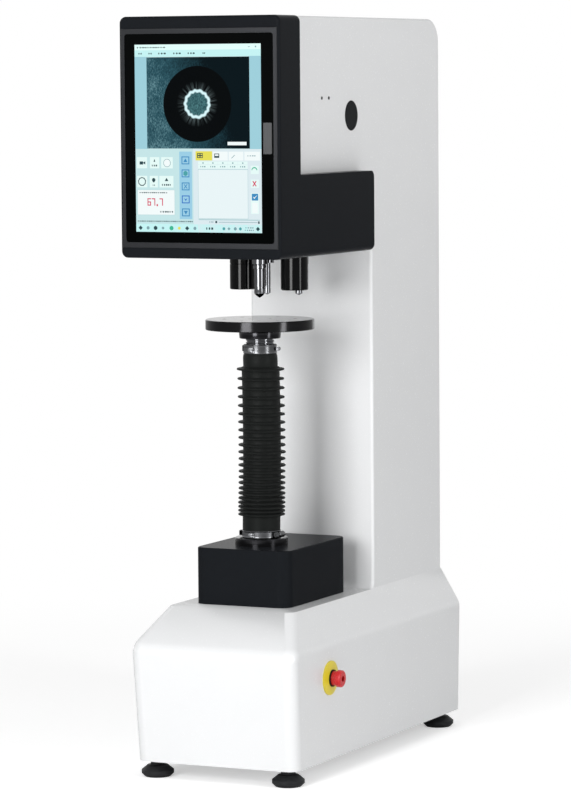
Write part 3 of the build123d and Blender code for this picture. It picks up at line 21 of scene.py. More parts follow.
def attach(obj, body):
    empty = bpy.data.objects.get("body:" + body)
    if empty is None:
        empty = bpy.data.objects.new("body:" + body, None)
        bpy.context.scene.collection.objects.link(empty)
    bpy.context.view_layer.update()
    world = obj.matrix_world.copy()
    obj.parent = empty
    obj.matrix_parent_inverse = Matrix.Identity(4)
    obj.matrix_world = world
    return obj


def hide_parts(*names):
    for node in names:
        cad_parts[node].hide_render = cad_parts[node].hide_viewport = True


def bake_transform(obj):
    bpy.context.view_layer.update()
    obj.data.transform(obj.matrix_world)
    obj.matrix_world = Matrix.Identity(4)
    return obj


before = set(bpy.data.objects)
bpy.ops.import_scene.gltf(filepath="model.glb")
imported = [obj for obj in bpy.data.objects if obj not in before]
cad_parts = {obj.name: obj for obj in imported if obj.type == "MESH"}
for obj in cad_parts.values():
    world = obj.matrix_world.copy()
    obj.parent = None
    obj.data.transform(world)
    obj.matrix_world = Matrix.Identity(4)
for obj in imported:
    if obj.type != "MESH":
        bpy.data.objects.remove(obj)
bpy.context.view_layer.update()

MM = 0.001
LOG = logging.getLogger("hardness_tester")

Mesh = tuple[np.ndarray, np.ndarray]  # points and faces
Pair = tuple[float, float]
Triple = tuple[float, float, float]
Adder = Callable[..., bpy.types.Node]  # add_node for one tree

COORDS, MAPPING, NOISE = "ShaderNodeTexCoord", "ShaderNodeMapping", "ShaderNodeTexNoise"
MATH, VECTOR, RANGE = "ShaderNodeMath", "ShaderNodeVectorMath", "ShaderNodeMapRange"
MIX, BUMP, RAMP = "ShaderNodeMix", "ShaderNodeBump", "ShaderNodeValToRGB"
PRINCIPLED, SURFACE = "ShaderNodeBsdfPrincipled", "ShaderNodeOutputMaterial"


# ---------------------------------------------------------------- small tools


def linear(hex_colour: str) -> tuple[float, float, float, float]:
    """Turn an sRGB hex colour into linear light, by the two pieces of the sRGB curve.

    Args:
        hex_colour: Colour such as "#1A2B3C".

    Returns:
        Red, green, blue and an alpha of 1.
    """
    parts = np.array([int(hex_colour[k : k + 2], 16) for k in (1, 3, 5)]) / 255
    light = np.where(parts <= 0.04045, parts / 12.92, ((parts + 0.055) / 1.055) ** 2.4)
    return (float(light[0]), float(light[1]), float(light[2]), 1.0)


def add_node(
    tree: bpy.types.NodeTree, kind: str, inputs: dict | None = None, **settings: object
) -> bpy.types.Node:
    """Add one node with its settings, and fill its inputs with values or links.

    Args:
        tree: Node tree that gets the node.
        kind: Blender's name for the type of node.
        inputs: Name or number of an input, to its value, to the socket that feeds it, or
            to the node whose first output feeds it.
        settings: Properties of the node, such as its operation.

    Returns:
        The new node.
    """
    node = tree.nodes.new(kind)
    for key, value in settings.items():
        setattr(node, key, value)
    for key, value in (inputs or {}).items():
        source = value.outputs[0] if isinstance(value, bpy.types.Node) else value
        if isinstance(source, bpy.types.NodeSocket):
            tree.links.new(source, node.inputs[key])
        else:
            node.inputs[key].default_value = source
    return node


def new_material(name: str) -> tuple[bpy.types.Material, Adder]:
    """Make an empty node material.

    Args:
        name: Name of the finish.

    Returns:
        The material, and add_node for its tree.
    """
    material = bpy.data.materials.new(name)
    material.use_nodes = True
    material.node_tree.nodes.clear()
    return material, partial(add_node, material.node_tree)


def grid_faces(rows: int, columns: int) -> np.ndarray:
    """Quads of a grid that closes on itself: corner r, c has the number r * columns + c.

    Args:
        rows: Number of rows of points.
        columns: Number of points in each row; the last joins the first.

    Returns:
        Corner numbers, four to a face.
    """
    row, column = np.meshgrid(np.arange(rows - 1), np.arange(columns), indexing="ij")
    here = row * columns + column
    beside = row * columns + (column + 1) % columns
    return np.stack([here, beside, beside + columns, here + columns], -1).reshape(-1, 4)


def make_piece(
    name: str, points: np.ndarray, faces: np.ndarray, sharp: float = 32.0, weld: bool = True
) -> bpy.types.Object:
    """Make a mesh object at the origin from points in millimetres.

    Args:
        name: Name of the piece.
        points: Points, in any array shape that ends in three.
        faces: Corner numbers of the faces.
        sharp: Angle in degrees over which an edge stays crisp.
        weld: Whether doubled points merge and the faces are turned outwards.

    Returns:
        The new object, linked to the scene.
    """
    mesh = bpy.data.meshes.new(name)
    mesh.from_pydata((points.reshape(-1, 3) * MM).tolist(), [], faces.tolist())
    if weld:
        shape = bmesh.new()
        shape.from_mesh(mesh)
        bmesh.ops.remove_doubles(shape, verts=shape.verts, dist=1e-6)
        bmesh.ops.recalc_face_normals(shape, faces=shape.faces)
        shape.to_mesh(mesh)
        shape.free()
    mesh.shade_smooth()
    mesh.set_sharp_from_angle(angle=math.radians(sharp))
    piece = bpy.data.objects.new(name, mesh)
    bpy.context.scene.collection.objects.link(piece)
    return piece


def turned(profile: np.ndarray, columns: int = 96, centre: Pair = (0, 0)) -> np.ndarray:
    """Turn a profile about an upright axis: x and y are its radius times cosine and sine.

    Args:
        profile: Radius and height of each point.
        columns: Points round the axis.
        centre: Place of the axis.

    Returns:
        Points as an array of rows, columns and three.
    """
    angle = np.linspace(0, 2 * np.pi, columns, endpoint=False)
    radius, height = profile[:, :1], profile[:, 1:]
    x, y = centre[0] + radius * np.cos(angle), centre[1] + radius * np.sin(angle)
    return np.stack([x, y, height + 0 * angle], -1)


def along(points: np.ndarray, origin: Vector, x_axis: Vector, z_axis: Vector) -> np.ndarray:
    """Carry points from their own frame to a place: origin plus each axis times its number.

    Args:
        points: Points in their own frame.
        origin: Where their origin goes.
        x_axis: Direction that their X takes.
        z_axis: Direction that their Z takes.

    Returns:
        The carried points.
    """
    across, up = Vector(x_axis).normalized(), Vector(z_axis).normalized()
    axes = np.array([across, up.cross(across), up])
    return points.reshape(-1, 3) @ axes + np.array(origin)


def rounded_outline(width: float, height: float, radius: float, steps: int = 6) -> np.ndarray:
    """Outline of a rectangle with round corners: a quarter circle about each corner's centre.

    Args:
        width: Size along x.
        height: Size along y.
        radius: Corner radius.
        steps: Spans in each corner.

    Returns:
        Points as x and y, anticlockwise.
    """
    angle = np.linspace(0, np.pi / 2, steps + 1) + np.arange(4)[:, None] * np.pi / 2
    arc = radius * np.stack([np.cos(angle), np.sin(angle)], -1)
    signs = np.array([(1, 1), (-1, 1), (-1, -1), (1, -1)])[:, None]
    return (arc + signs * (width / 2 - radius, height / 2 - radius)).reshape(-1, 2)


def slab(outline: np.ndarray, thickness: float, edge: float) -> Mesh:
    """Closed plate over an outline: rings of the outline, drawn in at its bevelled edges.

    Args:
        outline: Points as x and y, round the origin.
        thickness: Height from z 0.
        edge: Size of the bevel on the upper edge.

    Returns:
        Points and faces.
    """
    drawn_in = 1 - edge / np.abs(outline).max(0)
    rings = [
        (0, 0),
        (1, 0),
        (1, thickness - edge),
        (drawn_in, thickness),
        (0, thickness),
    ]
    rows = [np.column_stack([outline * k, np.full(len(outline), z)]) for k, z in rings]
    return np.stack(rows), grid_faces(len(rows), len(outline))


def joined(*parts: Mesh) -> Mesh:
    """Put several meshes in one: the faces of each are numbered on from those before.

    Args:
        parts: Points and faces of each mesh.

    Returns:
        Points and faces of them all.
    """
    points = [p.reshape(-1, 3) for p, _ in parts]
    starts = np.cumsum([0] + [len(p) for p in points])
    faces = [f + start for (_, f), start in zip(parts, starts)]
    return np.concatenate(points), np.concatenate(faces)


# ---------------------------------------------------------------- finishes


class Lay(Enum):
    """How the grain of a surface runs."""

    EVEN = (1.0, 1.0, 1.0)
    BRUSHED_X = (0.04, 1.0, 1.0)
    BRUSHED_Z = (1.0, 1.0, 0.04)


@dataclass(frozen=True)
class Finish:
    """A painted, moulded or machined surface with its grain.

    The grain is a noise pattern that tilts the surface and varies its gloss, and a broad,
    faint mottle varies its colour.
    """

    name: str
    colour: str
    roughness: float
    metallic: float = 0.0
    ior: float = 1.5
    grain: float = 1.0  # mm across one bump
    depth: float = 0.01  # mm from the top of a bump to its foot
    mottle: float = 0.04  # share by which the colour varies
    patch: float = 45.0  # mm across one patch of the mottle
    lay: Lay = Lay.EVEN
    sheen: float = 0.0
    spread: float = 0.15  # share by which the roughness varies

    def material(self) -> bpy.types.Material:
        """Build the material.

        Returns:
            The node material.
        """
        material, add = new_material(self.name)
        place = add(COORDS).outputs["Object"]
        laid = add(MAPPING, {0: place, "Scale": self.lay.value})
        grain = add(NOISE, {"Vector": laid, "Scale": 1 / (self.grain * MM), "Detail": 3.0})
        broad = add(NOISE, {"Vector": place, "Scale": 1 / (self.patch * MM), "Detail": 2.0})
        base = np.array(linear(self.colour))
        dark, light = base * (1 - self.mottle), np.minimum(base * (1 + self.mottle), 1)
        dark[3] = light[3] = 1
        tint = add(MIX, {0: broad, 6: tuple(dark), 7: tuple(light)}, data_type="RGBA")
        low, high = self.roughness * (1 - self.spread), self.roughness * (1 + self.spread)
        gloss = add(RANGE, {"Value": grain, "To Min": low, "To Max": high})
        bump = add(BUMP, {"Height": grain, "Distance": self.depth * MM, "Strength": 1.0})
        look = {
            "Base Color": tint.outputs[2],
            "Roughness": gloss,
            "Normal": bump,
            "Metallic": self.metallic,
            "IOR": self.ior,
            "Sheen Weight": self.sheen,
        }
        add(SURFACE, {0: add(PRINCIPLED, look)})
        return material


# Polyester powder coat, smooth semi-gloss white: a slight orange peel softens reflections.
WHITE_COAT = Finish("white_powder_coat", "#E3E4E5", 0.26, grain=2.2, mottle=0.012)
# The same coat in satin black, with a finer peel and a broad dull highlight.
BLACK_COAT = Finish(
    "black_powder_coat", "#1A1C1F", 0.24, ior=1.06, grain=1.1, depth=0.008, mottle=0.05
)
# Steel blackened in hot salts and oiled: almost black, mirror-like only at a low angle.
BLACKED = Finish("blackened_steel", "#2C2C2E", 0.16, 1.0, grain=0.6, depth=0.002, mottle=0.08)
# Lens tubes of black-anodised aluminium: the smooth dyed skin gives a sharp, glossy highlight.
LENS_TUBE = Finish("black_anodised_tube", "#050607", 0.1, ior=1.27, grain=0.5, depth=0.001)
# Hard chrome, ground before plating: bright, with the faintest turning marks.
CHROME = Finish("hard_chrome", "#747578", 0.1, 1.0, grain=0.3, depth=0.001, mottle=0.03)
# Rolled stainless strip: a soft, slightly cloudy shine.
STAINLESS = Finish(
    "stainless_strip", "#606163", 0.24, 1.0, grain=0.6, depth=0.003, mottle=0.1, patch=6
)
# Turned bright steel under a film of oil, which dulls it a little.
TURNED = Finish("turned_steel", "#8F9092", 0.28, 1.0, grain=0.5, depth=0.003, mottle=0.06)
# Zinc-plated sheet: dull, slightly blue and patchy.
ZINC = Finish(
    "zinc_plated_sheet", "#A9ABAD", 0.38, 1.0, grain=2.5, depth=0.006, mottle=0.12, patch=18
)
# Black nylon of the feet, moulded with a fine spark-eroded texture that keeps it matt.
NYLON = Finish("black_nylon", "#1A1B1D", 0.5, ior=1.3, grain=0.7, depth=0.02, mottle=0.08)
# Black ABS mouldings, with the low sheen of a lightly textured tool.
ABS = Finish("black_abs", "#1D1E20", 0.4, ior=1.08, grain=0.6, depth=0.008, mottle=0.05)
# Cast tin bronze, turned: warm, with a satin shine.
BRONZE = Finish("tin_bronze", "#B98A4A", 0.33, 1.0, grain=0.6, depth=0.004, mottle=0.1)
# Grey iron with a machined face: dull and open-grained.
IRON = Finish("machined_iron", "#6B6C6E", 0.48, 1.0, grain=1.2, depth=0.02, mottle=0.15, patch=12)
# Machined aluminium: pale, with the cutter's marks along X.
ALUMINIUM = Finish(
    "machined_aluminium", "#B9BBBE", 0.34, 1.0, 1.5, 0.7, 0.004, 0.06, lay=Lay.BRUSHED_X
)
# Aluminium strips round the screen, brushed along their length before the black dye.
TRIM = Finish(
    "dark_anodised_strip", "#2E2F31", 0.34, 1.0, grain=0.5, depth=0.004, lay=Lay.BRUSHED_Z
)
# Black-printed border under toughened glass: deep black with a flat, sharp reflection.
GLASS = Finish("black_backed_glass", "#030404", 0.05, ior=1.1, grain=40, depth=0.001, mottle=0.02)
# Glass-filled nylon of the stop button, moulded glossy in yellow and in red.
YELLOW = Finish("yellow_nylon", "#E2D030", 0.34, ior=1.53, grain=0.8, depth=0.008)
RED = Finish("red_nylon", "#C8141C", 0.27, ior=1.53, grain=0.8, depth=0.006, mottle=0.05)
# Epoxy-glass board with a green mask, which lets the copper show through in patches.
BOARD = Finish("green_circuit_board", "#1E6B3A", 0.4, depth=0.02, mottle=0.2, patch=6)
# Natural rubber of the belts, matt.
BELT = Finish("belt_rubber", "#1A1A1B", 0.7, grain=0.8, depth=0.03, mottle=0.1)
# Neoprene of the bellows, dip-moulded: matt, a little dusty on the fins.
NEOPRENE = Finish(
    "black_neoprene", "#171918", 0.5, 0.0, 1.16, 1.6, 0.03, mottle=0.14, patch=14, sheen=0.02
)
# Stainless plate, brushed lengthwise: its highlight smears across the lines.
PLATE = Finish("brushed_plate", "#464748", 0.3, 1.0, grain=0.5, depth=0.006, lay=Lay.BRUSHED_Z)


@dataclass(frozen=True)
class TurnedFace:
    """Blackened steel with the fine rings that facing on a lathe leaves about the axis."""

    name: str = "faced_black_steel"
    colour: str = "#2E2E2F"
    roughness: float = 0.15
    smear: float = 9.0  # mm across one smear of oil, which changes the gloss
    ring: float = 1.6  # mm; a real cut is about 0.2 mm, drawn coarser so that it shows
    depth: float = 0.0015

    def material(self) -> bpy.types.Material:
        """Build the material: a sine of the distance from the axis tilts the surface.

        Returns:
            The node material.
        """
        material, add = new_material(self.name)
        place = add(COORDS).outputs["Object"]
        flat = add(VECTOR, {0: place, 1: (1, 1, 0)}, operation="MULTIPLY")
        radius = add(VECTOR, {0: flat}, operation="LENGTH").outputs["Value"]
        turns = 2 * math.pi / (self.ring * MM)
        phase = add(MATH, {0: radius, 1: turns}, operation="MULTIPLY")
        wave = add(MATH, {0: phase}, operation="SINE")
        smear = add(NOISE, {"Vector": place, "Scale": 1 / (self.smear * MM), "Detail": 4.0})
        low, high = self.roughness * 0.75, self.roughness * 1.3
        look = {
            "Base Color": linear(self.colour),
            "Roughness": add(RANGE, {"Value": smear, "To Min": low, "To Max": high}),
            "Normal": add(BUMP, {"Height": wave, "Distance": self.depth * MM, "Strength": 1.0}),
            "Metallic": 1.0,
        }
        add(SURFACE, {0: add(PRINCIPLED, look)})
        return material


@dataclass(frozen=True)
class LitPicture:
    """Liquid-crystal picture behind glass: each shape glows in the colour it carries."""

    name: str = "lit_display"
    face: str = "#050606"
    roughness: float = 0.08
    ior: float = 1.05

    def light(self, add: Adder) -> bpy.types.NodeSocket:
        """Give the colour of the light: here, what each corner of a shape carries."""
        return add("ShaderNodeAttribute", attribute_name="tint").outputs["Color"]

    def material(self) -> bpy.types.Material:
        """Build the material: its light comes from under a glossy, nearly black face.

        Returns:
            The node material.
        """
        material, add = new_material(self.name)
        look = {
            "Base Color": linear(self.face),
            "Roughness": self.roughness,
            "IOR": self.ior,
            "Emission Color": self.light(add),
            "Emission Strength": 1.0,
        }
        add(SURFACE, {0: add(PRINCIPLED, look)})
        return material


@dataclass(frozen=True)
class MicroscopeImage(LitPicture):
    """Lit microscope picture of an indent: a dark round field on ground metal, with a bright rim.

    All its sizes are millimetres on the screen, measured from the middle of the indent. A
    ramp is a row of places from 0 to 1 with their colours.
    """

    name: str = "microscope_image"
    centre: Triple = (-2.3, -181.0, 905.0)
    field: float = 50.0
    field_edge: float = 0.8
    beyond: str = "#030507"
    rim: float = 16.6
    rim_edge: float = 1.5
    rim_width: float = 3.1
    rim_colour: str = "#DDFBFF"
    beads: float = 14.0  # bumps round the rim
    bead_drift: float = 5.0  # radians by which noise moves them out of step
    bead_depth: float = 1.1
    ray_reach: float = 30.0
    ray_strength: float = 0.42
    grain: float = 1.1
    grain_turn: float = 35.0  # degrees from upright
    grain_stretch: float = 0.45
    cloud: float = 26.0
    falling: Triple = (0.95, 0.0, 0.35)  # way in which the light falls off
    ground: tuple = ((0.11, "#06141A"), (0.52, "#86B4BC"), (0.30, "#2B5460"))
    bottom: tuple = ((0.38, "#173A42"), (0.72, "#5E9498"))

    def light(self, add: Adder) -> bpy.types.NodeSocket:
        """Draw the picture from distance and direction about the middle of the indent.

        Ground metal is a fine noise, stretched along its grain and darker to the right. The
        rim is a smooth step of the distance from its circle, whose radius swells with a sine
        of the direction into beads. The rays are a noise of the direction alone, broken by
        the grain and fading with the distance.

        Args:
            add: Adds a node to the material.

        Returns:
            Colour of the light.
        """
        place = add(COORDS).outputs["Object"]
        middle = tuple(-c * MM for c in self.centre)
        shifted = add(MAPPING, {0: place, "Location": middle})
        flat = add(VECTOR, {0: shifted, 1: (1, 0, 1)}, operation="MULTIPLY")
        radius = add(VECTOR, {0: flat}, operation="LENGTH").outputs["Value"]
        heading = add(VECTOR, {0: flat}, operation="NORMALIZE")

        # Ground metal: the grain, patchy and falling off to one side.
        turn = (0, math.radians(self.grain_turn), 0)
        lay = {0: shifted, "Rotation": turn, "Scale": (1, 1, self.grain_stretch)}
        fine = {"Vector": add(MAPPING, lay), "Scale": 1 / (self.grain * MM), "Detail": 4.0}
        speck = add(NOISE, {**fine, "Roughness": 0.75})
        cloud = add(NOISE, {"Vector": place, "Scale": 1 / (self.cloud * MM), "Detail": 2.0})
        across = add(VECTOR, {0: shifted, 1: self.falling}, operation="DOT_PRODUCT")
        fall = {"From Min": -0.045, "From Max": 0.055, "To Min": 1.25, "To Max": 0.16}
        side = add(RANGE, {"Value": across.outputs["Value"], **fall})
        patchy = add(RANGE, {"Value": cloud, "To Min": 0.3, "To Max": 0.7})
        shaded = add(MATH, {0: patchy, 1: side}, operation="MULTIPLY")
        level = add(MATH, {0: speck, 1: shaded}, operation="MULTIPLY")

        # Round field of ground metal, and the bottom of the indent, dull with dark specks.
        ground, bottom = add(RAMP, {0: level}), add(RAMP, {0: speck})
        for ramp, stops in ((ground, self.ground), (bottom, self.bottom)):
            elements = ramp.color_ramp.elements
            for number, (position, colour) in enumerate(stops):
                stop = elements[number] if number < 2 else elements.new(position)
                stop.position, stop.color = position, linear(colour)
        edge, wall = (self.field - self.field_edge) * MM, (self.rim - self.rim_edge) * MM
        outer = add(RANGE, {"Value": radius, "From Min": edge, "From Max": self.field * MM})
        inner = add(RANGE, {"Value": radius, "From Min": self.rim * MM, "From Max": wall})
        disc = add(MIX, {0: outer, 6: linear(self.beyond), 7: ground}, data_type="RGBA")
        dark = add(MIX, {0: inner, 6: disc.outputs[2], 7: bottom}, data_type="RGBA")

        # Beaded rim.
        parts = add("ShaderNodeSeparateXYZ", {0: shifted}).outputs
        angle = add(MATH, {0: parts[2], 1: parts[0]}, operation="ARCTAN2")
        stray = add(NOISE, {"Vector": heading, "Scale": 1.6, "Detail": 2.0})
        drift = add(MATH, {0: stray, 1: self.bead_drift}, operation="MULTIPLY")
        turns = add(MATH, {0: angle, 1: self.beads, 2: drift}, operation="MULTIPLY_ADD")
        beat = add(MATH, {0: turns}, operation="SINE")
        bead = add(RANGE, {"Value": beat, "From Min": -0.9, "From Max": 0.9})
        depth = -self.bead_depth * MM
        waved = add(MATH, {0: bead, 1: depth, 2: radius}, operation="MULTIPLY_ADD")
        off = add(MATH, {0: waved, 1: self.rim * MM}, operation="SUBTRACT")
        away = add(MATH, {0: off}, operation="ABSOLUTE")
        wide = self.rim_width * MM
        step = {"Value": away, "From Min": wide, "From Max": 0.2 * wide}
        ring = add(RANGE, step, interpolation_type="SMOOTHSTEP")

        # Rays outside the rim.
        thin = add(NOISE, {"Vector": heading, "Scale": 7.0, "Detail": 3.0, "Roughness": 0.7})
        streak = add(RANGE, {"Value": thin, "From Min": 0.44, "From Max": 0.72})
        reach = {"From Min": self.rim * MM, "From Max": self.ray_reach * MM}
        strength = {"To Min": self.ray_strength, "To Max": 0.0}
        fade = add(RANGE, {"Value": radius, **reach, **strength})
        outside = add(MATH, {0: radius, 1: self.rim * MM}, operation="GREATER_THAN")
        rays = outside
        for share in (fade, streak, speck):
            rays = add(MATH, {0: rays, 1: share}, operation="MULTIPLY")
        glow = add(MATH, {0: ring, 1: rays}, operation="MAXIMUM")
        lit = {0: glow, 6: dark.outputs[2], 7: linear(self.rim_colour)}
        return add(MIX, lit, data_type="RGBA").outputs[2]


class Palette:
    """Materials by finish, each built once."""

    def __init__(self) -> None:
        """Start with none built."""
        self.built: dict[str, bpy.types.Material] = {}

    def __call__(self, finish: Finish | TurnedFace | LitPicture) -> bpy.types.Material:
        """Give the material of a finish, building it the first time."""
        if finish.name not in self.built:
            self.built[finish.name] = finish.material()
        return self.built[finish.name]


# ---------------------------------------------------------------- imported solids


@dataclass
class PackedSolids:
    """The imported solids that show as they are, with their finishes and crisp-edged shading."""

    finishes: dict[Finish | TurnedFace, str] = field(
        default_factory=lambda: {
            WHITE_COAT: "frame_casting",
            BLACK_COAT: "elevator_housing head_housing lift_motor load_motor turret_motor",
            BLACKED: "bellows_flange table_seat foot_lock_nuts side_screws rear_cover_screws",
            TurnedFace(): "test_table turret_drum",
            LENS_TUBE: "wide_objective",
            CHROME: "diamond_indenter ball_indenters estop_stem lead_screw",
            TURNED: "load_screw guide_rails key_bush nut_bearings motor_bracket load_cell",
            ZINC: "rear_cover base_bottom_plate power_supply",
            NYLON: "levelling_feet",
            ABS: "side_plug estop_body mains_inlet switch_frame power_rocker display_panel",
            BRONZE: "lift_nut",
            IRON: "press_head press_carriage press_guide load_screw_block",
            ALUMINIUM: "nut_pulley motor_pulley load_screw_pulley load_motor_pulley panel_computer",
            TRIM: "screen_trim",
            GLASS: "screen_glass",
            YELLOW: "estop_ring",
            RED: "estop_head",
            BOARD: "control_board",
            BELT: "lift_belt load_belt",
        }
    )
    crease: float = 40.0  # degrees

    def shading(self) -> bpy.types.NodeTree:
        """Node group that welds loose triangles and smooths all but the creased edges.

        Returns:
            The geometry node group.
        """
        group = bpy.data.node_groups.new("crisp_edges", "GeometryNodeTree")
        for way in ("INPUT", "OUTPUT"):
            group.interface.new_socket("Geometry", in_out=way, socket_type="NodeSocketGeometry")
        add, smooth = partial(add_node, group), "GeometryNodeSetShadeSmooth"
        welded = add("GeometryNodeMergeByDistance", {0: add("NodeGroupInput"), "Distance": 2e-6})
        bend = {0: add("GeometryNodeInputMeshEdgeAngle"), 1: math.radians(self.crease)}
        creased = add("FunctionNodeCompare", bend, operation="GREATER_THAN")
        even = add(smooth, {0: welded, "Shade Smooth": True}, domain="FACE")
        edges = {0: even, "Selection": creased, "Shade Smooth": False}
        add("NodeGroupOutput", {0: add(smooth, edges, domain="EDGE")})
        return group

    def dress(self, palette: Palette) -> None:
        """Give every solid its finish and shading.

        Args:
            palette: Source of the materials.
        """
        shading = self.shading()
        for finish, names in self.finishes.items():
            for node in (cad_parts[name] for name in names.split()):
                if not node.material_slots:
                    node.data.materials.append(None)
                for slot in node.material_slots:
                    slot.material = palette(finish)
                node.modifiers.new("crisp_edges", "NODES").node_group = shading
                node.modifiers.new("flat_faces_first", "WEIGHTED_NORMAL").keep_sharp = True
        LOG.info("dressed %d packed solids", len(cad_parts))


# ---------------------------------------------------------------- elevating screw cover


@dataclass
class Bellows:
    """Dip-moulded rubber bellows round the elevating screw, crowded at its lower end."""

    foot: float = 315.0
    top: float = 578.0
    foot_radius: float = 25.7
    body_radius: float = 25.8
    neck_radius: float = 22.05
    fin_radius: float = 32.25
    first_fin: float = 346.6
    last_fin: float = 544.8
    fins: int = 23
    crowding: float = 2.6  # last pitch over the first
    fin_half: float = 1.25  # half of a fin's thickness
    fillet: float = 1.3  # hollow at the root of a fin
    droop: float = 0.5  # how far a fin's tip hangs
    squeeze: float = 0.47  # share of a pitch that half a fin and its fillet may take
    lean: Pair = (0.15, 0.55)  # how far a fin tips
    lean_turn: Pair = (2.2, 3.9)  # radians to the side it tips to
    swell: Pair = (-0.35, 0.35)  # how much wider a fin is than the others
    three_sided: float = 0.004  # share by which a rim is drawn in on three sides
    full_reach: float = 7.0  # reach over the body at which a rim moves in full
    root_share: float = 0.25  # share of the lean that a fin's root takes
    round_foot: Pair = (20.0, 15.0)  # stays round from the foot, and then loosens
    round_top: Pair = (18.0, 12.0)  # the same down from the top
    bow: float = 1.6  # how far the middle leans to the back right
    bow_turn: float = 25.0  # degrees from +X
    bow_ends: float = 14.0  # stays upright at each end
    columns: int = 112
    seed: int = 7

    def heights(self) -> np.ndarray:
        """Heights of the fins: their pitch grows in even steps from the first to the last.

        Returns:
            The height of each fin's middle.
        """
        steps = np.linspace(1, self.crowding, self.fins - 1)
        spans = steps * (self.last_fin - self.first_fin) / steps.sum()
        return self.first_fin + np.concatenate([[0], np.cumsum(spans)])

    def fin_section(self) -> np.ndarray:
        """Section of one fin, as its reach over the body and its height about its own middle.

        It is a flange of even thickness with a half-round tip, joined to the body by a
        quarter-round hollow on each side. Its height falls by the square of its share of reach.

        Returns:
            Rows of reach and height, from the lower hollow to the upper one.
        """
        half, hollow = self.fin_half, self.fillet
        reach = self.fin_radius - self.body_radius
        quarter, round_tip = np.linspace(0, np.pi / 2, 4), np.linspace(-np.pi / 2, np.pi / 2, 9)
        root = hollow * np.stack([1 - np.cos(quarter), np.sin(quarter) - 1], -1) - (0, half)
        tip = half * np.stack([np.cos(round_tip), np.sin(round_tip)], -1) + (reach - half, 0)
        section = np.concatenate([root, tip, root[::-1] * (1, -1)])
        section[:, 1] -= self.droop * (section[:, 0] / reach) ** 2
        return section

    def profile(self) -> tuple[np.ndarray, np.ndarray]:
        """Radius and height from foot to top, and the fin that each point is nearest to.

        Returns:
            Rows of radius and height, and the index of the nearest fin to each row.
        """
        heights, section = self.heights(), self.fin_section()
        room = self.squeeze * np.gradient(heights) / (self.fin_half + self.fillet)
        height = heights[:, None] + section[:, 1] * np.minimum(room, 1)[:, None]
        radius = self.body_radius + section[:, 0] + 0 * height
        foot = [(-2, 0), (0, 0), (0, 16), (0, 22)]  # out of the foot radius, over the foot
        shoulder = [(2.2, 2.9), (1.45, 3.6)]  # out of the neck radius, over the last fin
        # Out of the neck radius, and below the top.
        top = [(1.45, 18), (1.1, 15), (0.3, 12.8), (0, 12), (0, 0.8), (-0.8, 0), (-3, 0)]
        rows = np.concatenate(
            [
                np.add((self.foot_radius, self.foot), foot),
                [(self.body_radius, self.first_fin - 5)],
                np.stack([radius.ravel(), height.ravel()], -1),
                np.add((self.neck_radius, self.last_fin), shoulder),
                (self.neck_radius, self.top) + np.array(top) * (1, -1),
            ]
        )
        return rows, np.abs(rows[:, 1:] - heights).argmin(1)

    def build(self, palette: Palette) -> None:
        """Make the bellows between the base and the table, in place of its packed stand-in.

        Each fin leans by its own small angle, and its rim waves: the height of a point gets a
        cosine of its angle times the fin's lean. The whole bows aside by half a sine of its height.

        Args:
            palette: Source of the materials.
        """
        rows, nearest = self.profile()
        points = turned(rows, self.columns)
        chance = np.random.default_rng(self.seed)
        lean, phase, swell = (
            chance.uniform(*limits, self.fins)[nearest]
            for limits in (self.lean, self.lean_turn, self.swell)
        )
        angle = np.linspace(0, 2 * np.pi, self.columns, endpoint=False)
        out = np.clip((rows[:, 0] - self.body_radius) / self.full_reach, 0, 1)
        free = np.ones(len(rows))
        over_foot, under_top = rows[:, 1] - self.foot, self.top - rows[:, 1]
        for height, end in ((over_foot, self.round_foot), (under_top, self.round_top)):
            free *= np.clip((height - end[0]) / end[1], 0, 1)
        tip = (self.root_share + (1 - self.root_share) * out) * lean * free
        points[..., 2] += tip[:, None] * np.cos(angle + phase[:, None])
        points[..., :2] *= (1 + (swell * out * free / rows[:, 0]))[:, None, None]
        drawn_in = self.three_sided * (out * free)[:, None] * (1 + np.cos(3 * angle))
        points[..., :2] *= (1 - drawn_in)[..., None]
        held, turn = self.bow_ends, math.radians(self.bow_turn)
        share = (points[..., 2] - self.foot - held) / (self.top - self.foot - 2 * held)
        aside = self.bow * np.sin(np.pi * np.clip(share, 0, 1))
        points[..., :2] += aside[..., None] * (math.cos(turn), math.sin(turn))
        piece = make_piece("bellows_cover", points, grid_faces(*points.shape[:2]), sharp=70)
        piece.data.materials.append(palette(NEOPRENE))
        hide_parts("bellows")
        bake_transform(piece)
        LOG.info("bellows with %d fins", self.fins)


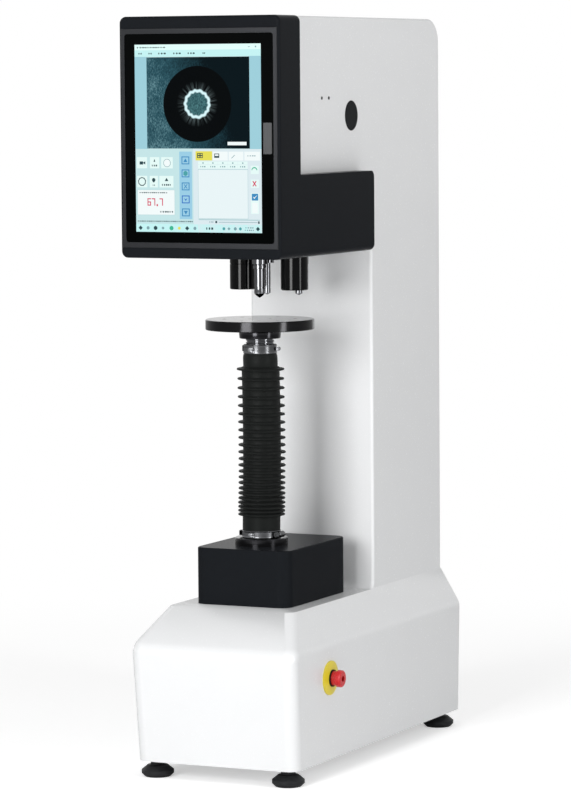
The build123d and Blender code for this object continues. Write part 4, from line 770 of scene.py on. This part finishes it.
@dataclass
class HoseClamp:
    """Worm-drive clamp: a slotted band, its screw in a pressed housing, and the band's free end."""

    name: str
    node: str
    body: str
    radius: float
    bottom: float
    turn: float  # degrees from +X to the screw's housing
    tail_turn: float  # degrees on from the housing to the free end
    height: float = 12.0
    band: float = 0.9
    screw_radius: float = 3.4
    screw_length: float = 17.0
    thread_pitch: float = 1.6
    thread_depth: float = 0.35
    slots: int = 60  # slots that would fit round the whole band
    slant: float = 2.2  # radians of a slot's turn from middle to edge
    slotted: Pair = (1.05, 0.62)  # radians: middle and half of the slotted part
    slot_reach: float = 0.64  # share of the band's height that the slots take
    slot_level: float = 0.25  # height of the sine over which the face dips
    slot_depth: float = 0.5  # share of the band's thickness
    columns: int = 240
    core: float = 0.78  # radius of the thread's core over the screw's radius
    cover_wall: float = 1.0
    cover_past: float = 0.12  # half turns by which the arch goes past its middle
    tail_lift: float = 3.4
    tail_sweep: float = 0.34  # radians

    def band_shape(self) -> Mesh:
        """Ring whose section is a thin strip with rolled edges, and slots pressed in its face.

        The face's radius dips in slanting slots: a square-topped sine of the angle plus a
        slant times the height, over the part of the band that the screw can reach.

        Returns:
            Points and faces.
        """
        edge = np.array([0.3, 0.62, 0.72, 0.86, 0.97, 1])
        across = np.concatenate([-edge[::-1], [0], edge, [1, -1]])
        rolled = np.array([0.7, 0.7, 0.72, 1.0, 0.75, 0.2])
        out = np.concatenate([rolled[::-1], [0.7], rolled, [0, 0]])
        middle = self.bottom + self.height / 2
        height = middle + across * self.height / 2 * 0.985
        rows = np.stack([self.radius + self.band * out, height], -1)
        points = turned(rows, self.columns)
        angle = np.linspace(-np.pi, np.pi, self.columns, endpoint=False)
        wave = np.sin(self.slots * angle + self.slant * across[:, None])
        centre, half = self.slotted
        on_face = (np.abs(across) < self.slot_reach) * (out > 0.5)
        slot = (np.abs(np.abs(angle) - centre) < half) * (wave > self.slot_level)
        dip = self.slot_depth * self.band * slot * on_face[:, None]
        points[..., :2] *= (1 - dip / rows[:, :1])[..., None]
        return points, grid_faces(*points.shape[:2])

    def screw_shape(self) -> Mesh:
        """Screw along the band's tangent: a threaded barrel and a six-sided head with a recess.

        Returns:
            Points and faces.
        """
        half, turns = self.screw_length / 2, 60
        z = np.linspace(-half, half * 0.55, turns)
        thread = self.thread_depth * np.sin(z * 2 * np.pi / self.thread_pitch)
        barrel = np.zeros((turns + 2, 2))
        barrel[1:-1, 0] = self.screw_radius * self.core + thread
        barrel[:, 1] = np.concatenate([[-half], z, z[-1:]])
        side = [(0, 0.5), (1.0, 0.5), (1.18, 0.56), (1.18, 0.95), (1.05, 1.0)]
        recess = [(0.35, 1.0), (0.3, 0.93), (0, 0.93)]
        head = np.array(side + recess) * (self.screw_radius, half)
        return joined(
            (turned(barrel, 20), grid_faces(len(barrel), 20)),
            (turned(head, 6), grid_faces(len(head), 6)),
        )

    def housing_shape(self) -> Mesh:
        """Pressed cover over the barrel: an arch carried along the screw, closed at both ends.

        Returns:
            Points and faces.
        """
        angle = np.linspace(-self.cover_past, 1 + self.cover_past, 22) * np.pi
        radius = self.screw_radius + self.cover_wall
        outer = radius * np.stack([np.cos(angle), np.sin(angle)], -1)
        section = np.concatenate([outer, outer[::-1] * 0.8])
        count, half = len(section), self.screw_length / 2
        steps = [(0.93, -0.95), (1.0, -0.9), (1.0, 0.42), (0.93, 0.47)]
        rows = [np.column_stack([section * k, np.full(count, z * half)]) for k, z in steps]
        near = np.arange(len(angle) - 1)
        far = count - 2 - near
        ends = np.stack([near, near + 1, far, far + 1], -1)
        faces = [grid_faces(len(rows), count), ends[:, ::-1], ends + (len(rows) - 1) * count]
        return np.stack(rows), np.concatenate(faces)

    def tail_shape(self) -> Mesh:
        """Free end of the band: a short strip that lifts from the band along a curve.

        Returns:
            Points and faces.
        """
        share = np.linspace(0, 1, 12)
        angle = math.radians(self.turn + self.tail_turn) + self.tail_sweep * share
        reach = self.radius + self.band + 0.1 + self.tail_lift * share**2
        middle = self.bottom + self.height / 2
        width = 0.40 * self.height * (1 - 0.25 * share**6)
        inner, outer = (
            np.stack([r * np.cos(angle), r * np.sin(angle)], -1) for r in (reach, reach + 0.6)
        )
        sides = ((inner, -width), (outer, -width), (outer, width), (inner, width))
        rows = np.stack([np.column_stack([side, middle + up]) for side, up in sides], 1)
        caps = np.array([[0, 1, 2, 3], [47, 46, 45, 44]])
        return rows, np.concatenate([grid_faces(12, 4), caps])

    def build(self, palette: Palette) -> None:
        """Make the clamp in place of its packed stand-in.

        Args:
            palette: Source of the materials.
        """
        turn = math.radians(self.turn)
        outward = Vector((math.cos(turn), math.sin(turn), 0))
        tangent = Vector((-math.sin(turn), math.cos(turn), 0))
        seat = outward * (self.radius + self.band + self.screw_radius + 0.4)
        origin = seat + Vector((0, 0, self.bottom + self.height / 2))
        side = Vector((0, 0, 1))
        screw, screw_faces = self.screw_shape()
        cover, cover_faces = self.housing_shape()
        points, faces = joined(
            self.band_shape(),
            (along(screw, origin, side, -tangent), screw_faces),
            (along(cover, origin, -side, -tangent), cover_faces),
            self.tail_shape(),
        )
        piece = make_piece(self.name, points, faces, sharp=38)
        piece.data.materials.append(palette(STAINLESS))
        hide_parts(self.node)
        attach(piece, self.body)
        LOG.info("hose clamp %s", self.name)


@dataclass
class ScrewNeck:
    """Thread of the elevating screw between the bellows and the seat, and the collar over it."""

    radius: float = 18.05
    bottom: float = 578.3
    top: float = 587.5
    collar_bore: float = 17.2
    collar_radius: float = 28.9
    collar_bottom: float = 586.4
    collar_top: float = 598.3
    pitch: float = 4.0
    depth: float = 1.3

    def thread(self) -> Mesh:
        """Thread whose radius is a rounded saw of the height less the turn's share of a pitch.

        Returns:
            Points and faces.
        """
        height = np.linspace(self.bottom, self.top, 64)
        points = turned(np.stack([0 * height + 1, height], -1), 96)
        angle = np.linspace(0, 2 * np.pi, 96, endpoint=False)
        phase = (height[:, None] / self.pitch - angle / (2 * np.pi)) % 1
        crest = np.clip(1.6 - 4.2 * np.abs(phase - 0.5), 0, 1)
        points[..., :2] *= (self.radius + self.depth * crest)[..., None]
        ends = points[[0, -1]]
        ends[..., :2] *= (self.radius - 0.6) / np.linalg.norm(ends[..., :2], axis=-1, keepdims=True)
        rows = np.concatenate([ends[:1], points, ends[1:]])
        return rows, grid_faces(*rows.shape[:2])

    def collar(self) -> Mesh:
        """Collar with a bevelled foot and a round top, turned about the screw.

        Returns:
            Points and faces.
        """
        low, high, out = self.collar_bottom, self.collar_top, self.collar_radius
        foot = [(self.collar_bore, low), (out - 1.6, low), (out - 1.0, low + 0.6)]
        top = [(out, high - 1), (out - 0.4, high), (self.collar_bore, high)]
        return turned(np.array(foot + top)), grid_faces(6, 96)

    def build(self, palette: Palette) -> None:
        """Make the thread and the collar.

        Args:
            palette: Source of the materials.
        """
        piece = make_piece("screw_neck_thread", *self.thread(), sharp=45)
        piece.data.materials.append(palette(CHROME))
        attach(piece, "table")
        collar = make_piece("seat_collar", *self.collar(), sharp=38)
        collar.data.materials.append(palette(BLACKED))
        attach(collar, "table")
        LOG.info("thread and collar on the neck of the screw")


@dataclass
class TurretTools:
    """Left lens tube, and the holders' sleeves where they enter the drum."""

    tube_place: Pair = (-38.99, 28.33)
    tube_radius: float = 17.5
    lens_height: float = 651.0
    drum_bottom: float = 706.0
    front_place: Pair = (0.0, 0.0)
    front_size: Triple = (10.3, 680.5, 4.5)  # radius, foot, waist
    rear_place: Pair = (24.1, 74.17)
    rear_size: Triple = (13.6, 676.0, 6.0)

    def lens_tube(self) -> Mesh:
        """Tube turned about its own axis: a recessed lens, a bevelled mouth and a shallow groove.

        Returns:
            Points and faces.
        """
        out, top = self.tube_radius, self.drum_bottom - self.lens_height
        lens = [(0, 2.6), (4, 2.2), (8, 1.2), (9, 1.2), (9, 0.4)]
        mouth = [(out - 3.2, 0), (out - 1.0, 0), (out, 1.0)]
        groove = [(out, 34), (out - 0.4, 34.4), (out - 0.4, 35.2), (out, 35.6)]
        section = np.array(lens + mouth + groove + [(out, top), (0, top)])
        section[:, 1] += self.lens_height
        return turned(section, 96, self.tube_place), grid_faces(len(section), 96)

    def sleeve(self, place: Pair, size: Triple) -> Mesh:
        """Sleeve turned about a station: a lower ring, a narrow waist and a taller upper ring.

        Args:
            place: Axis of the station.
            size: Outer radius, height of the foot, and height of the waist over the foot.

        Returns:
            Points and faces.
        """
        radius, foot, waist = size
        top, bore = self.drum_bottom - foot, 6.0 - radius
        lower = [(bore, 0), (-1.8, 0), (-1.2, 0.6), (-1.2, waist)]
        middle = [(-2.0, waist + 0.3), (-2.0, waist + 1.3), (-0.6, waist + 1.6)]
        upper = [(0, waist + 2.2), (0, top), (bore, top)]
        section = np.add((radius, foot), lower + middle + upper)
        return turned(section, 72, place), grid_faces(len(section), 72)

    def build(self, palette: Palette) -> None:
        """Make the tube in place of its packed stand-ins, and both sleeves.

        Args:
            palette: Source of the materials.
        """
        tube = make_piece("left_lens_tube", *self.lens_tube(), sharp=30)
        tube.data.materials.append(palette(LENS_TUBE))
        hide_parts("slim_objective", "spot_lamp")
        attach(tube, "turret")
        front = self.sleeve(self.front_place, self.front_size)
        rear = self.sleeve(self.rear_place, self.rear_size)
        for name, shape, finish, slot in (
            ("front_holder_sleeve", front, CHROME, "chrome"),
            ("rear_holder_sleeve", rear, BLACKED, "black_oxide"),
        ):
            sleeve = make_piece(name, *shape, sharp=30)
            sleeve.data.materials.append(palette(finish))
            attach(sleeve, "turret")
        LOG.info("lens tube and holder sleeves under the drum")


# ---------------------------------------------------------------- touch screen


class Shade(Enum):
    """Colours of the picture on the screen."""

    PANEL = "#C6E6E8"
    PANEL_RIGHT = "#DCEBF0"
    TITLE = "#E4FFFB"
    MENU = "#C6F4F4"
    BAR = "#9FD0DC"
    CELL = "#E6FBF8"
    WHITE = "#F3FBFB"
    LIST = "#E9F5F7"
    EDGE = "#A3C9CD"
    INK = "#2E4A50"
    GREY = "#7FA3AA"
    BLUE = "#3F8CC0"
    DEEP = "#2F6FC4"
    PALE = "#9CCFE6"
    YELLOW = "#E8E05A"
    RED = "#D63A5E"
    GREEN = "#3FB794"
    TEAL = "#4FA3A8"


@dataclass
class TouchScreen:
    """Picture on the touch screen: a live image, a result box, lists and rows of buttons.

    Shapes are placed by share of the lit area, from its left and from its top. Each is a
    flat polygon, a hair in front of the one that it lies on: its layer says how many do.
    """

    middle_x: float = -1.7
    middle_z: float = 860.0
    width: float = 184.0
    height: float = 246.0
    front: float = -180.56
    step: float = 0.035  # mm from one layer to the next
    live: tuple[float, float, float, float] = (0.095, 0.068, 0.91, 0.554)
    button_pitch: float = 0.0693
    column_pitch: float = 0.0785
    polygons: list[tuple[np.ndarray, int, Shade]] = field(default_factory=list)

    def put(self, layer: int, shade: Shade, *corners: Pair) -> None:
        """Add a polygon of a shade, over a number of layers, by shares across and down."""
        self.polygons.append((np.array(corners, float), layer, shade))

    def boxes(self, layer: int, shade: Shade, *sides: tuple[float, float, float, float]) -> None:
        """Add rectangles by the left, upper, right and lower side of each."""
        for left, top, right, bottom in sides:
            self.put(layer, shade, (left, top), (left, bottom), (right, bottom), (right, top))

    def disc(self, layer: int, shade: Shade, u: float, v: float, radius: float, sides: int) -> None:
        """Add a disc or an even-sided figure.

        Args:
            layer: How many shapes lie under it.
            shade: Its colour.
            u: Share across to its middle.
            v: Share down to its middle.
            radius: Millimetres.
            sides: Number of sides.
        """
        angle = np.linspace(0, 2 * np.pi, sides, endpoint=False) + np.pi / 2
        arc = radius * np.stack([np.cos(angle), -np.sin(angle)], -1)
        self.put(layer, shade, *(arc / (self.width, self.height) + (u, v)))

    def cross(self, layer: int, shade: Shade, middle: Pair, size: Pair, thick: Pair) -> None:
        """Add two slanting bars that cross.

        Args:
            layer: How many shapes lie under it.
            shade: Its colour.
            middle: Shares across and down.
            size: Half of its width and height.
            thick: Thickness of a bar across and down.
        """
        (u, v), (a, b), (c, d) = middle, size, thick
        for way in (-1, 1):
            bar = [(u - a, v - way * b), (u - a + c, v - way * (b + d))]
            bar += [(u + a, v + way * b), (u + a - c, v + way * (b + d))]
            self.put(layer, shade, *bar[::-way])

    def dashes(
        self, layer: int, shade: Shade, span: Pair, v: float, count: int, tall: float = 0.006
    ) -> None:
        """Add a row of short bars in the place of words; their lengths follow a fixed rhythm.

        Args:
            layer: How many shapes lie under them.
            shade: Their colour.
            span: Left and right end of the row.
            v: Share down to its middle.
            count: Number of bars.
            tall: Height of a bar.
        """
        rhythm = 0.55 + 0.4 * np.sin(np.arange(count) * 2.4) ** 2
        starts = np.linspace(*span, count, endpoint=False)
        ends = starts + 0.8 * rhythm * (span[1] - span[0]) / count
        low, high = v - tall / 2, v + tall / 2
        self.boxes(layer, shade, *((a, low, b, high) for a, b in zip(starts, ends)))

    def number(self, layer: int, shade: Shade, left: float, top: float, high: float) -> None:
        """Add the reading 67.7 in plain seven-bar figures.

        Args:
            layer: How many shapes lie under it.
            shade: Its colour.
            left: Left side.
            top: Upper side.
            high: Height of a figure.
        """
        wide = high * self.height / self.width * 0.46
        thin_u, thin_v = wide * 0.34, high * 0.16
        roof, right_side = (0, 0, 1, 0), [(1, 0, 1, 0.5), (1, 0.5, 1, 1)]
        left_side = [(0, 0, 0, 0.5), (0, 0.5, 0, 1)]
        six = [roof, *left_side, (0, 0.5, 1, 0.5), (0, 1, 1, 1), right_side[1]]
        seven = [roof, *right_side]
        for bars, advance in ((six, 1.65), (seven, 1.65), (None, 1.3), (seven, 1.65)):
            if bars is None:
                point = (left, top + high - thin_v, left + 1.6 * thin_u, top + high + thin_v)
                self.boxes(layer, shade, point)
            else:
                sides = np.array(bars) * (wide, high, wide, high) + (left, top, left, top)
                grown = sides + (-thin_u / 2, -thin_v / 2, thin_u / 2, thin_v / 2)
                self.boxes(layer, shade, *grown)
            left += wide * advance

    def frame_bars(self) -> None:
        """Place the grounds, the title bar, the menu and the bars beside the live image."""
        s = Shade
        self.boxes(0, s.PANEL, (0, 0, 1, 1))
        self.boxes(1, s.PANEL_RIGHT, (0.46, 0.556, 1, 1))
        self.boxes(1, s.TITLE, (0, 0, 1, 0.03))
        self.boxes(1, s.MENU, (0, 0.03, 1, 0.065))
        self.dashes(2, s.INK, (0.02, 0.25), 0.016, 11)
        self.boxes(2, s.GREY, (0.955, 0.012, 0.965, 0.02), (0.9, 0.015, 0.915, 0.018))
        lefts = (0.03, 0.11, 0.19, 0.31, 0.425, 0.54)
        for left, wide in zip(lefts, (0.03, 0.03, 0.065, 0.065, 0.06, 0.025)):
            self.dashes(2, s.INK, (left, left + wide), 0.048, 3, 0.008)
        self.boxes(1, s.BAR, (0, 0.065, 0.095, 0.556), (0.91, 0.065, 1, 0.556))
        self.boxes(6, s.WHITE, (0.735, 0.518, 0.884, 0.536))

    def buttons(self) -> None:
        """Place the two rows of white buttons with their marks."""
        s = Shade
        for left, right in ((0.01, 0.092), (0.115, 0.19), (0.205, 0.298)):
            self.boxes(2, s.CELL, (left, 0.6, right, 0.66))
        for left, right in ((0.01, 0.092), (0.112, 0.178), (0.19, 0.302)):
            self.boxes(2, s.CELL, (left, 0.7, right, 0.762))
        self.boxes(3, s.INK, (0.032, 0.623, 0.06, 0.64), (0.138, 0.722, 0.15, 0.735))
        self.put(3, s.INK, (0.058, 0.631), (0.078, 0.64), (0.078, 0.622))
        self.put(3, s.INK, (0.144, 0.625), (0.158, 0.625), (0.151, 0.609))
        self.put(3, s.INK, (0.232, 0.728), (0.262, 0.728), (0.247, 0.71))
        self.disc(3, s.GREY, 0.252, 0.631, 5.4, 28)
        self.disc(4, s.WHITE, 0.252, 0.631, 4.7, 28)
        self.disc(3, s.INK, 0.05, 0.731, 6.0, 9)
        self.disc(4, s.CELL, 0.05, 0.731, 4.7, 9)
        self.disc(3, s.INK, 0.144, 0.722, 2.6, 12)
        self.dashes(3, s.INK, (0.13, 0.176), 0.645, 3, 0.009)
        self.dashes(3, s.INK, (0.136, 0.156), 0.75, 2, 0.007)
        self.dashes(3, s.INK, (0.21, 0.288), 0.748, 5, 0.009)

    def blue_column(self) -> None:
        """Place the column of five blue buttons; the fourth is the one in use."""
        s, u, top, pitch = Shade, 0.399, 0.617, self.button_pitch
        self.boxes(1, s.PALE, (0.35, 0.57, 0.45, 0.93))
        for row in range(5):
            v = top + row * pitch
            shade = s.DEEP if row == 3 else s.BLUE
            self.boxes(2, shade, (0.368, v - 0.021, 0.43, v + 0.021))
            self.boxes(3, s.PALE, (0.375, v - 0.016, 0.423, v + 0.016))
        self.put(4, s.BLUE, (0.383, 0.626), (0.415, 0.626), (u, 0.606))
        self.disc(4, s.TEAL, u, top + pitch, 3.6, 6)
        self.cross(4, s.BLUE, (u, top + 2 * pitch), (0.015, 0.01), (0.004, 0.003))
        self.put(4, s.DEEP, (0.385, 0.818), (u, 0.834), (0.413, 0.818), (u, 0.824))
        self.put(4, s.BLUE, (0.383, 0.886), (u, 0.906), (0.415, 0.886))

    def results(self) -> None:
        """Place the result box with its red number."""
        s = Shade
        self.boxes(2, s.EDGE, (0.012, 0.775, 0.312, 0.909))
        self.boxes(3, s.WHITE, (0.014, 0.776, 0.31, 0.908))
        self.dashes(4, s.INK, (0.03, 0.26), 0.79, 14)
        self.number(4, s.RED, 0.096, 0.823, 0.034)
        self.dashes(4, s.INK, (0.195, 0.305), 0.892, 6, 0.008)

    def lists(self) -> None:
        """Place the tabs, and the list with its headings."""
        s = Shade
        self.boxes(2, s.YELLOW, (0.48, 0.568, 0.612, 0.617))
        self.boxes(3, s.INK, (0.492, 0.578, 0.538, 0.604), (0.628, 0.58, 0.668, 0.603))
        for u in (0.498, 0.52):
            for v in (0.582, 0.594):
                self.boxes(4, s.YELLOW, (u, v, u + 0.014, v + 0.006))
        for left, right in ((0.616, 0.735), (0.742, 0.858), (0.866, 0.988)):
            self.boxes(2, s.WHITE, (left, 0.57, right, 0.617))
        self.boxes(4, s.WHITE, (0.634, 0.584, 0.662, 0.593))
        self.put(3, s.GREY, (0.762, 0.604), (0.79, 0.586), (0.792, 0.589), (0.766, 0.606))
        self.dashes(3, s.GREY, (0.89, 0.96), 0.592, 4, 0.005)
        for column in range(5):
            left = 0.5 + column * self.column_pitch
            right = left + self.column_pitch - 0.002
            self.boxes(2, s.CELL, (left, 0.622, right, 0.638), (left, 0.64, right, 0.66))
            self.boxes(3, s.GREY, (left + 0.034, 0.627, left + 0.044, 0.634))
            self.dashes(3, s.GREY, (left + 0.018, left + 0.062), 0.65, 3, 0.007)
        self.boxes(2, s.EDGE, (0.499, 0.664, 0.893, 0.927), (0.5, 0.93, 0.985, 0.934))
        self.boxes(3, s.LIST, (0.501, 0.666, 0.891, 0.925))

    def tool_column(self) -> None:
        """Place the four tools on the right: a green ring, a red cross, a tick and a blank."""
        s, u = Shade, 0.944
        for v, high in ((0.666, 0.022), (0.739, 0.022), (0.81, 0.022), (0.865, 0.034)):
            self.boxes(2, s.CELL, (0.915, v - high, 0.978, v + high))
        self.disc(3, s.GREEN, u, 0.668, 4.2, 18)
        self.disc(4, s.CELL, u, 0.67, 3.2, 18)
        self.boxes(5, s.CELL, (0.918, 0.668, 0.972, 0.688))
        self.cross(3, s.RED, (u, 0.739), (0.016, 0.012), (0.006, 0.0035))
        self.boxes(3, s.BLUE, (0.922, 0.792, 0.972, 0.828))
        self.put(4, s.WHITE, (0.93, 0.808), (0.942, 0.82), (0.966, 0.798), (0.942, 0.812))
        self.boxes(3, s.WHITE, (0.925, 0.84, 0.968, 0.895))

    def task_strip(self) -> None:
        """Place the status line and the strip of small round and square marks under it."""
        s = Shade
        self.dashes(2, s.INK, (0.012, 0.46), 0.943, 30)
        self.dashes(2, s.GREY, (0.585, 0.62), 0.944, 3)
        self.disc(2, s.INK, 0.64, 0.944, 1.6, 10)
        self.boxes(2, s.GREY, (0.66, 0.9435, 0.965, 0.946))
        self.boxes(2, s.INK, (0.97, 0.938, 0.982, 0.951))
        self.boxes(1, s.MENU, (0, 0.957, 1, 1))
        places = (0.035, 0.095, 0.155, 0.215, 0.283, 0.345, 0.408, 0.47)
        places += (0.7, 0.74, 0.79, 0.83, 0.968)
        left_shades = (s.INK, s.GREY, s.INK, s.GREY, s.GREEN, s.YELLOW, s.INK, s.GREY)
        right_shades = (s.TEAL, s.GREY, s.GREY, s.TEAL, s.INK)
        for number, (u, shade) in enumerate(zip(places, left_shades + right_shades)):
            radius = 3.0 if shade in (s.INK, s.GREEN) else 2.2
            self.disc(2, shade, u, 0.979, radius, (4, 12, 6)[number % 3])
        self.dashes(2, s.INK, (0.56, 0.62), 0.979, 3, 0.012)
        self.dashes(2, s.GREY, (0.87, 0.94), 0.973, 4)
        self.dashes(2, s.GREY, (0.865, 0.945), 0.986, 5)

    def placed(self, shares: np.ndarray, layer: np.ndarray) -> np.ndarray:
        """Carry shares of the lit area to points: each layer comes a step nearer.

        Args:
            shares: Shares across and down.
            layer: How many shapes lie under each.

        Returns:
            Points in millimetres.
        """
        x = self.middle_x + (shares[:, 0] - 0.5) * self.width
        z = self.middle_z + (0.5 - shares[:, 1]) * self.height
        return np.stack([x, self.front - self.step * layer, z], -1)

    def build(self, palette: Palette) -> None:
        """Make the picture, and the live image in its own piece.

        Args:
            palette: Source of the materials.
        """
        left_parts = (self.frame_bars, self.buttons, self.blue_column, self.results)
        for part in (*left_parts, self.lists, self.tool_column, self.task_strip):
            part()
        outlines, layers, shades = zip(*self.polygons)
        counts = [len(outline) for outline in outlines]
        points = self.placed(np.concatenate(outlines), np.repeat(layers, counts))
        tints = np.repeat([linear(shade.value) for shade in shades], counts, axis=0)
        starts = np.cumsum([0, *counts])
        faces = [list(range(a, b)) for a, b in zip(starts[:-1], starts[1:])]
        mesh = bpy.data.meshes.new("screen_picture")
        mesh.from_pydata((points * MM).tolist(), [], faces)
        tint = mesh.attributes.new("tint", "FLOAT_COLOR", "POINT")
        tint.data.foreach_set("color", tints.astype(np.float32).ravel())
        piece = bpy.data.objects.new("screen_picture", mesh)
        bpy.context.scene.collection.objects.link(piece)
        piece.data.materials.append(palette(LitPicture()))
        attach(piece, "frame")
        left, top, right, bottom = self.live
        corners = np.array([(left, top), (left, bottom), (right, bottom), (right, top)])
        image = self.placed(corners, np.full(4, 4))
        live = make_piece("screen_live_image", image, np.array([[0, 1, 2, 3]]), weld=False)
        live.data.materials.append(palette(MicroscopeImage()))
        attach(live, "frame")
        LOG.info("picture of %d shapes on the screen", len(self.polygons))


@dataclass
class ScreenLatch:
    """Narrow bare plate on the right border of the glass."""

    x: float = 99.4
    z: float = 860.0
    width: float = 12.6
    height: float = 41.0
    thickness: float = 0.8
    corner: float = 1.2
    bevel: float = 0.3
    glass_front: float = -180.5

    def build(self, palette: Palette) -> None:
        """Make the plate with round corners and a bevelled edge.

        Args:
            palette: Source of the materials.
        """
        outline = rounded_outline(self.width, self.height, self.corner)
        points, faces = slab(outline, self.thickness, self.bevel)
        origin = Vector((self.x, self.glass_front, self.z))
        placed = along(points, origin, Vector((1, 0, 0)), Vector((0, -1, 0)))
        piece = make_piece("screen_side_plate", placed, faces)
        piece.data.materials.append(palette(PLATE))
        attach(piece, "frame")
        LOG.info("side plate on the glass")


# ---------------------------------------------------------------- studio


@dataclass
class Lamp:
    """Soft lamp that faces the middle of the object."""

    name: str
    azimuth: float  # degrees round from the front, to the right
    height: float  # metres over the floor
    distance: float  # metres from the axis of the screw
    size: Pair  # metres
    power: float  # watts
    aim: Triple = (0.0, 0.1, 0.55)

    def build(self) -> None:
        """Add the lamp, unseen by the camera."""
        light = bpy.data.lights.new(self.name, "AREA")
        light.shape, light.size, light.size_y, light.energy = "RECTANGLE", *self.size, self.power
        lamp = bpy.data.objects.new(self.name, light)
        bpy.context.scene.collection.objects.link(lamp)
        az = math.radians(self.azimuth)
        out = self.distance * Vector((math.sin(az), -math.cos(az), 0))
        place = out + Vector((0, 0, self.height))
        turn = (place - Vector(self.aim)).to_track_quat("Z", "Y").to_matrix().to_4x4()
        lamp.matrix_world = Matrix.Translation(place) @ turn
        lamp.visible_camera = False


@dataclass
class Studio:
    """Pale floor, plain soft lamps, and the camera. Its lengths are in metres."""

    target: Triple = (0.03754, 0.0, 0.5031)
    distance: float = 5.20312
    azimuth: float = 25.14
    elevation: float = 4.82
    roll: float = -0.41
    lens: float = 172.77
    ambient: float = 0.38
    floor_lift: float = 0.45
    floor_near: float = 0.5  # out to here the floor is matt
    floor_far: float = 1.8  # from here on it is plain white
    lamps: tuple[Lamp, ...] = (
        Lamp("front_softbox", -3.0, 1.1, 3.0, (1.1, 1.5), 66),
        Lamp("side_softbox", 76.0, 1.0, 2.6, (0.5, 1.8), 25),
    )

    def camera(self) -> None:
        """Place the camera on a circle about its target: back is the way from target to camera."""
        az, el, ro = map(math.radians, (self.azimuth, self.elevation, self.roll))
        back = Vector((math.sin(az) * math.cos(el), -math.cos(az) * math.cos(el), math.sin(el)))
        right = Vector((math.cos(az), math.sin(az), 0))
        up = back.cross(right)
        across = right * math.cos(ro) + up * math.sin(ro)
        above = up * math.cos(ro) - right * math.sin(ro)
        lens = bpy.data.cameras.new("camera")
        lens.lens, lens.sensor_width, lens.clip_end = self.lens, 36.0, 60.0
        camera = bpy.data.objects.new("camera", lens)
        bpy.context.scene.collection.objects.link(camera)
        turn = Matrix((across, above, back)).transposed().to_4x4()
        camera.matrix_world = Matrix.Translation(Vector(self.target) + back * self.distance) @ turn
        bpy.context.scene.camera = camera

    def surroundings(self) -> None:
        """Light the world evenly: white to the camera, in gloss and through glass, dimmer else."""
        world = bpy.data.worlds.new("surroundings")
        bpy.context.scene.world = world
        world.use_nodes = True
        world.node_tree.nodes.clear()
        add = partial(add_node, world.node_tree)
        ray = add("ShaderNodeLightPath").outputs
        seen = ray["Is Camera Ray"]
        for kind in ("Is Glossy Ray", "Is Transmission Ray"):
            seen = add(MATH, {0: seen, 1: ray[kind]}, operation="MAXIMUM")
        strength = add(RANGE, {"Value": seen, "To Min": self.ambient, "To Max": 1.0})
        white = {"Color": linear("#FFFFFF"), "Strength": strength}
        add("ShaderNodeOutputWorld", {0: add("ShaderNodeBackground", white)})

    def floor(self) -> None:
        """Lay a round floor that is matt and pale near the object and goes over to plain white."""
        ring = np.array([(0, 0), (1.2, 0), (2.4, 0), (5, 0), (12, 0), (30, 0)]) * (1000, 1)
        points = turned(ring, 96)
        points[..., 2] -= 0.02
        piece = make_piece("floor", points, grid_faces(*points.shape[:2]))
        if piece.data.polygons[0].normal.z < 0:
            piece.data.flip_normals()
        material, add = new_material("pale_floor")
        place = add(COORDS).outputs["Object"]
        reach = add(VECTOR, {0: place}, operation="LENGTH").outputs["Value"]
        limits = {"From Min": self.floor_near, "From Max": self.floor_far}
        far = add(RANGE, {"Value": reach, **limits}, interpolation_type="SMOOTHSTEP")
        seen = add("ShaderNodeLightPath").outputs["Is Camera Ray"]
        share = add(MATH, {0: far, 1: seen}, operation="MULTIPLY")
        lift = add(MATH, {0: seen, 1: self.floor_lift}, operation="MULTIPLY")
        matt = add("ShaderNodeBsdfDiffuse", {"Color": linear("#FBFBFB")})
        glow, plain = (
            add("ShaderNodeEmission", {"Color": linear("#FFFFFF"), "Strength": strength})
            for strength in (lift, 1.0)
        )
        near = add("ShaderNodeAddShader", {0: matt, 1: glow})
        add(SURFACE, {0: add("ShaderNodeMixShader", {0: share, 1: near, 2: plain})})
        piece.data.materials.append(material)

    def build(self) -> None:
        """Set up the camera, the surroundings, the floor and the lamps."""
        bpy.context.scene.view_settings.view_transform = "Standard"
        self.camera()
        self.surroundings()
        self.floor()
        for lamp in self.lamps:
            lamp.build()
        LOG.info("camera, lamps and floor")


def main() -> None:
    """Build the whole scene in order."""
    logging.basicConfig(level=logging.INFO, format="%(message)s")
    palette = Palette()
    Studio().build()
    PackedSolids().dress(palette)
    parts = (
        Bellows(),
        HoseClamp(
            "lower_clamp", "lower_hose_clamp", "frame",
            radius=25.8, bottom=315.4, turn=-12.0, tail_turn=190.0, height=9.6,
        ),
        HoseClamp(
            "upper_clamp", "upper_hose_clamp", "table",
            radius=22.15, bottom=566.0, turn=10.0, tail_turn=150.0,
            screw_radius=1.8, screw_length=8.5,
        ),
        ScrewNeck(),
        TurretTools(),
        TouchScreen(),
        ScreenLatch(),
    )
    for part in parts:
        part.build(palette)


if __name__ == "__main__":
    main()
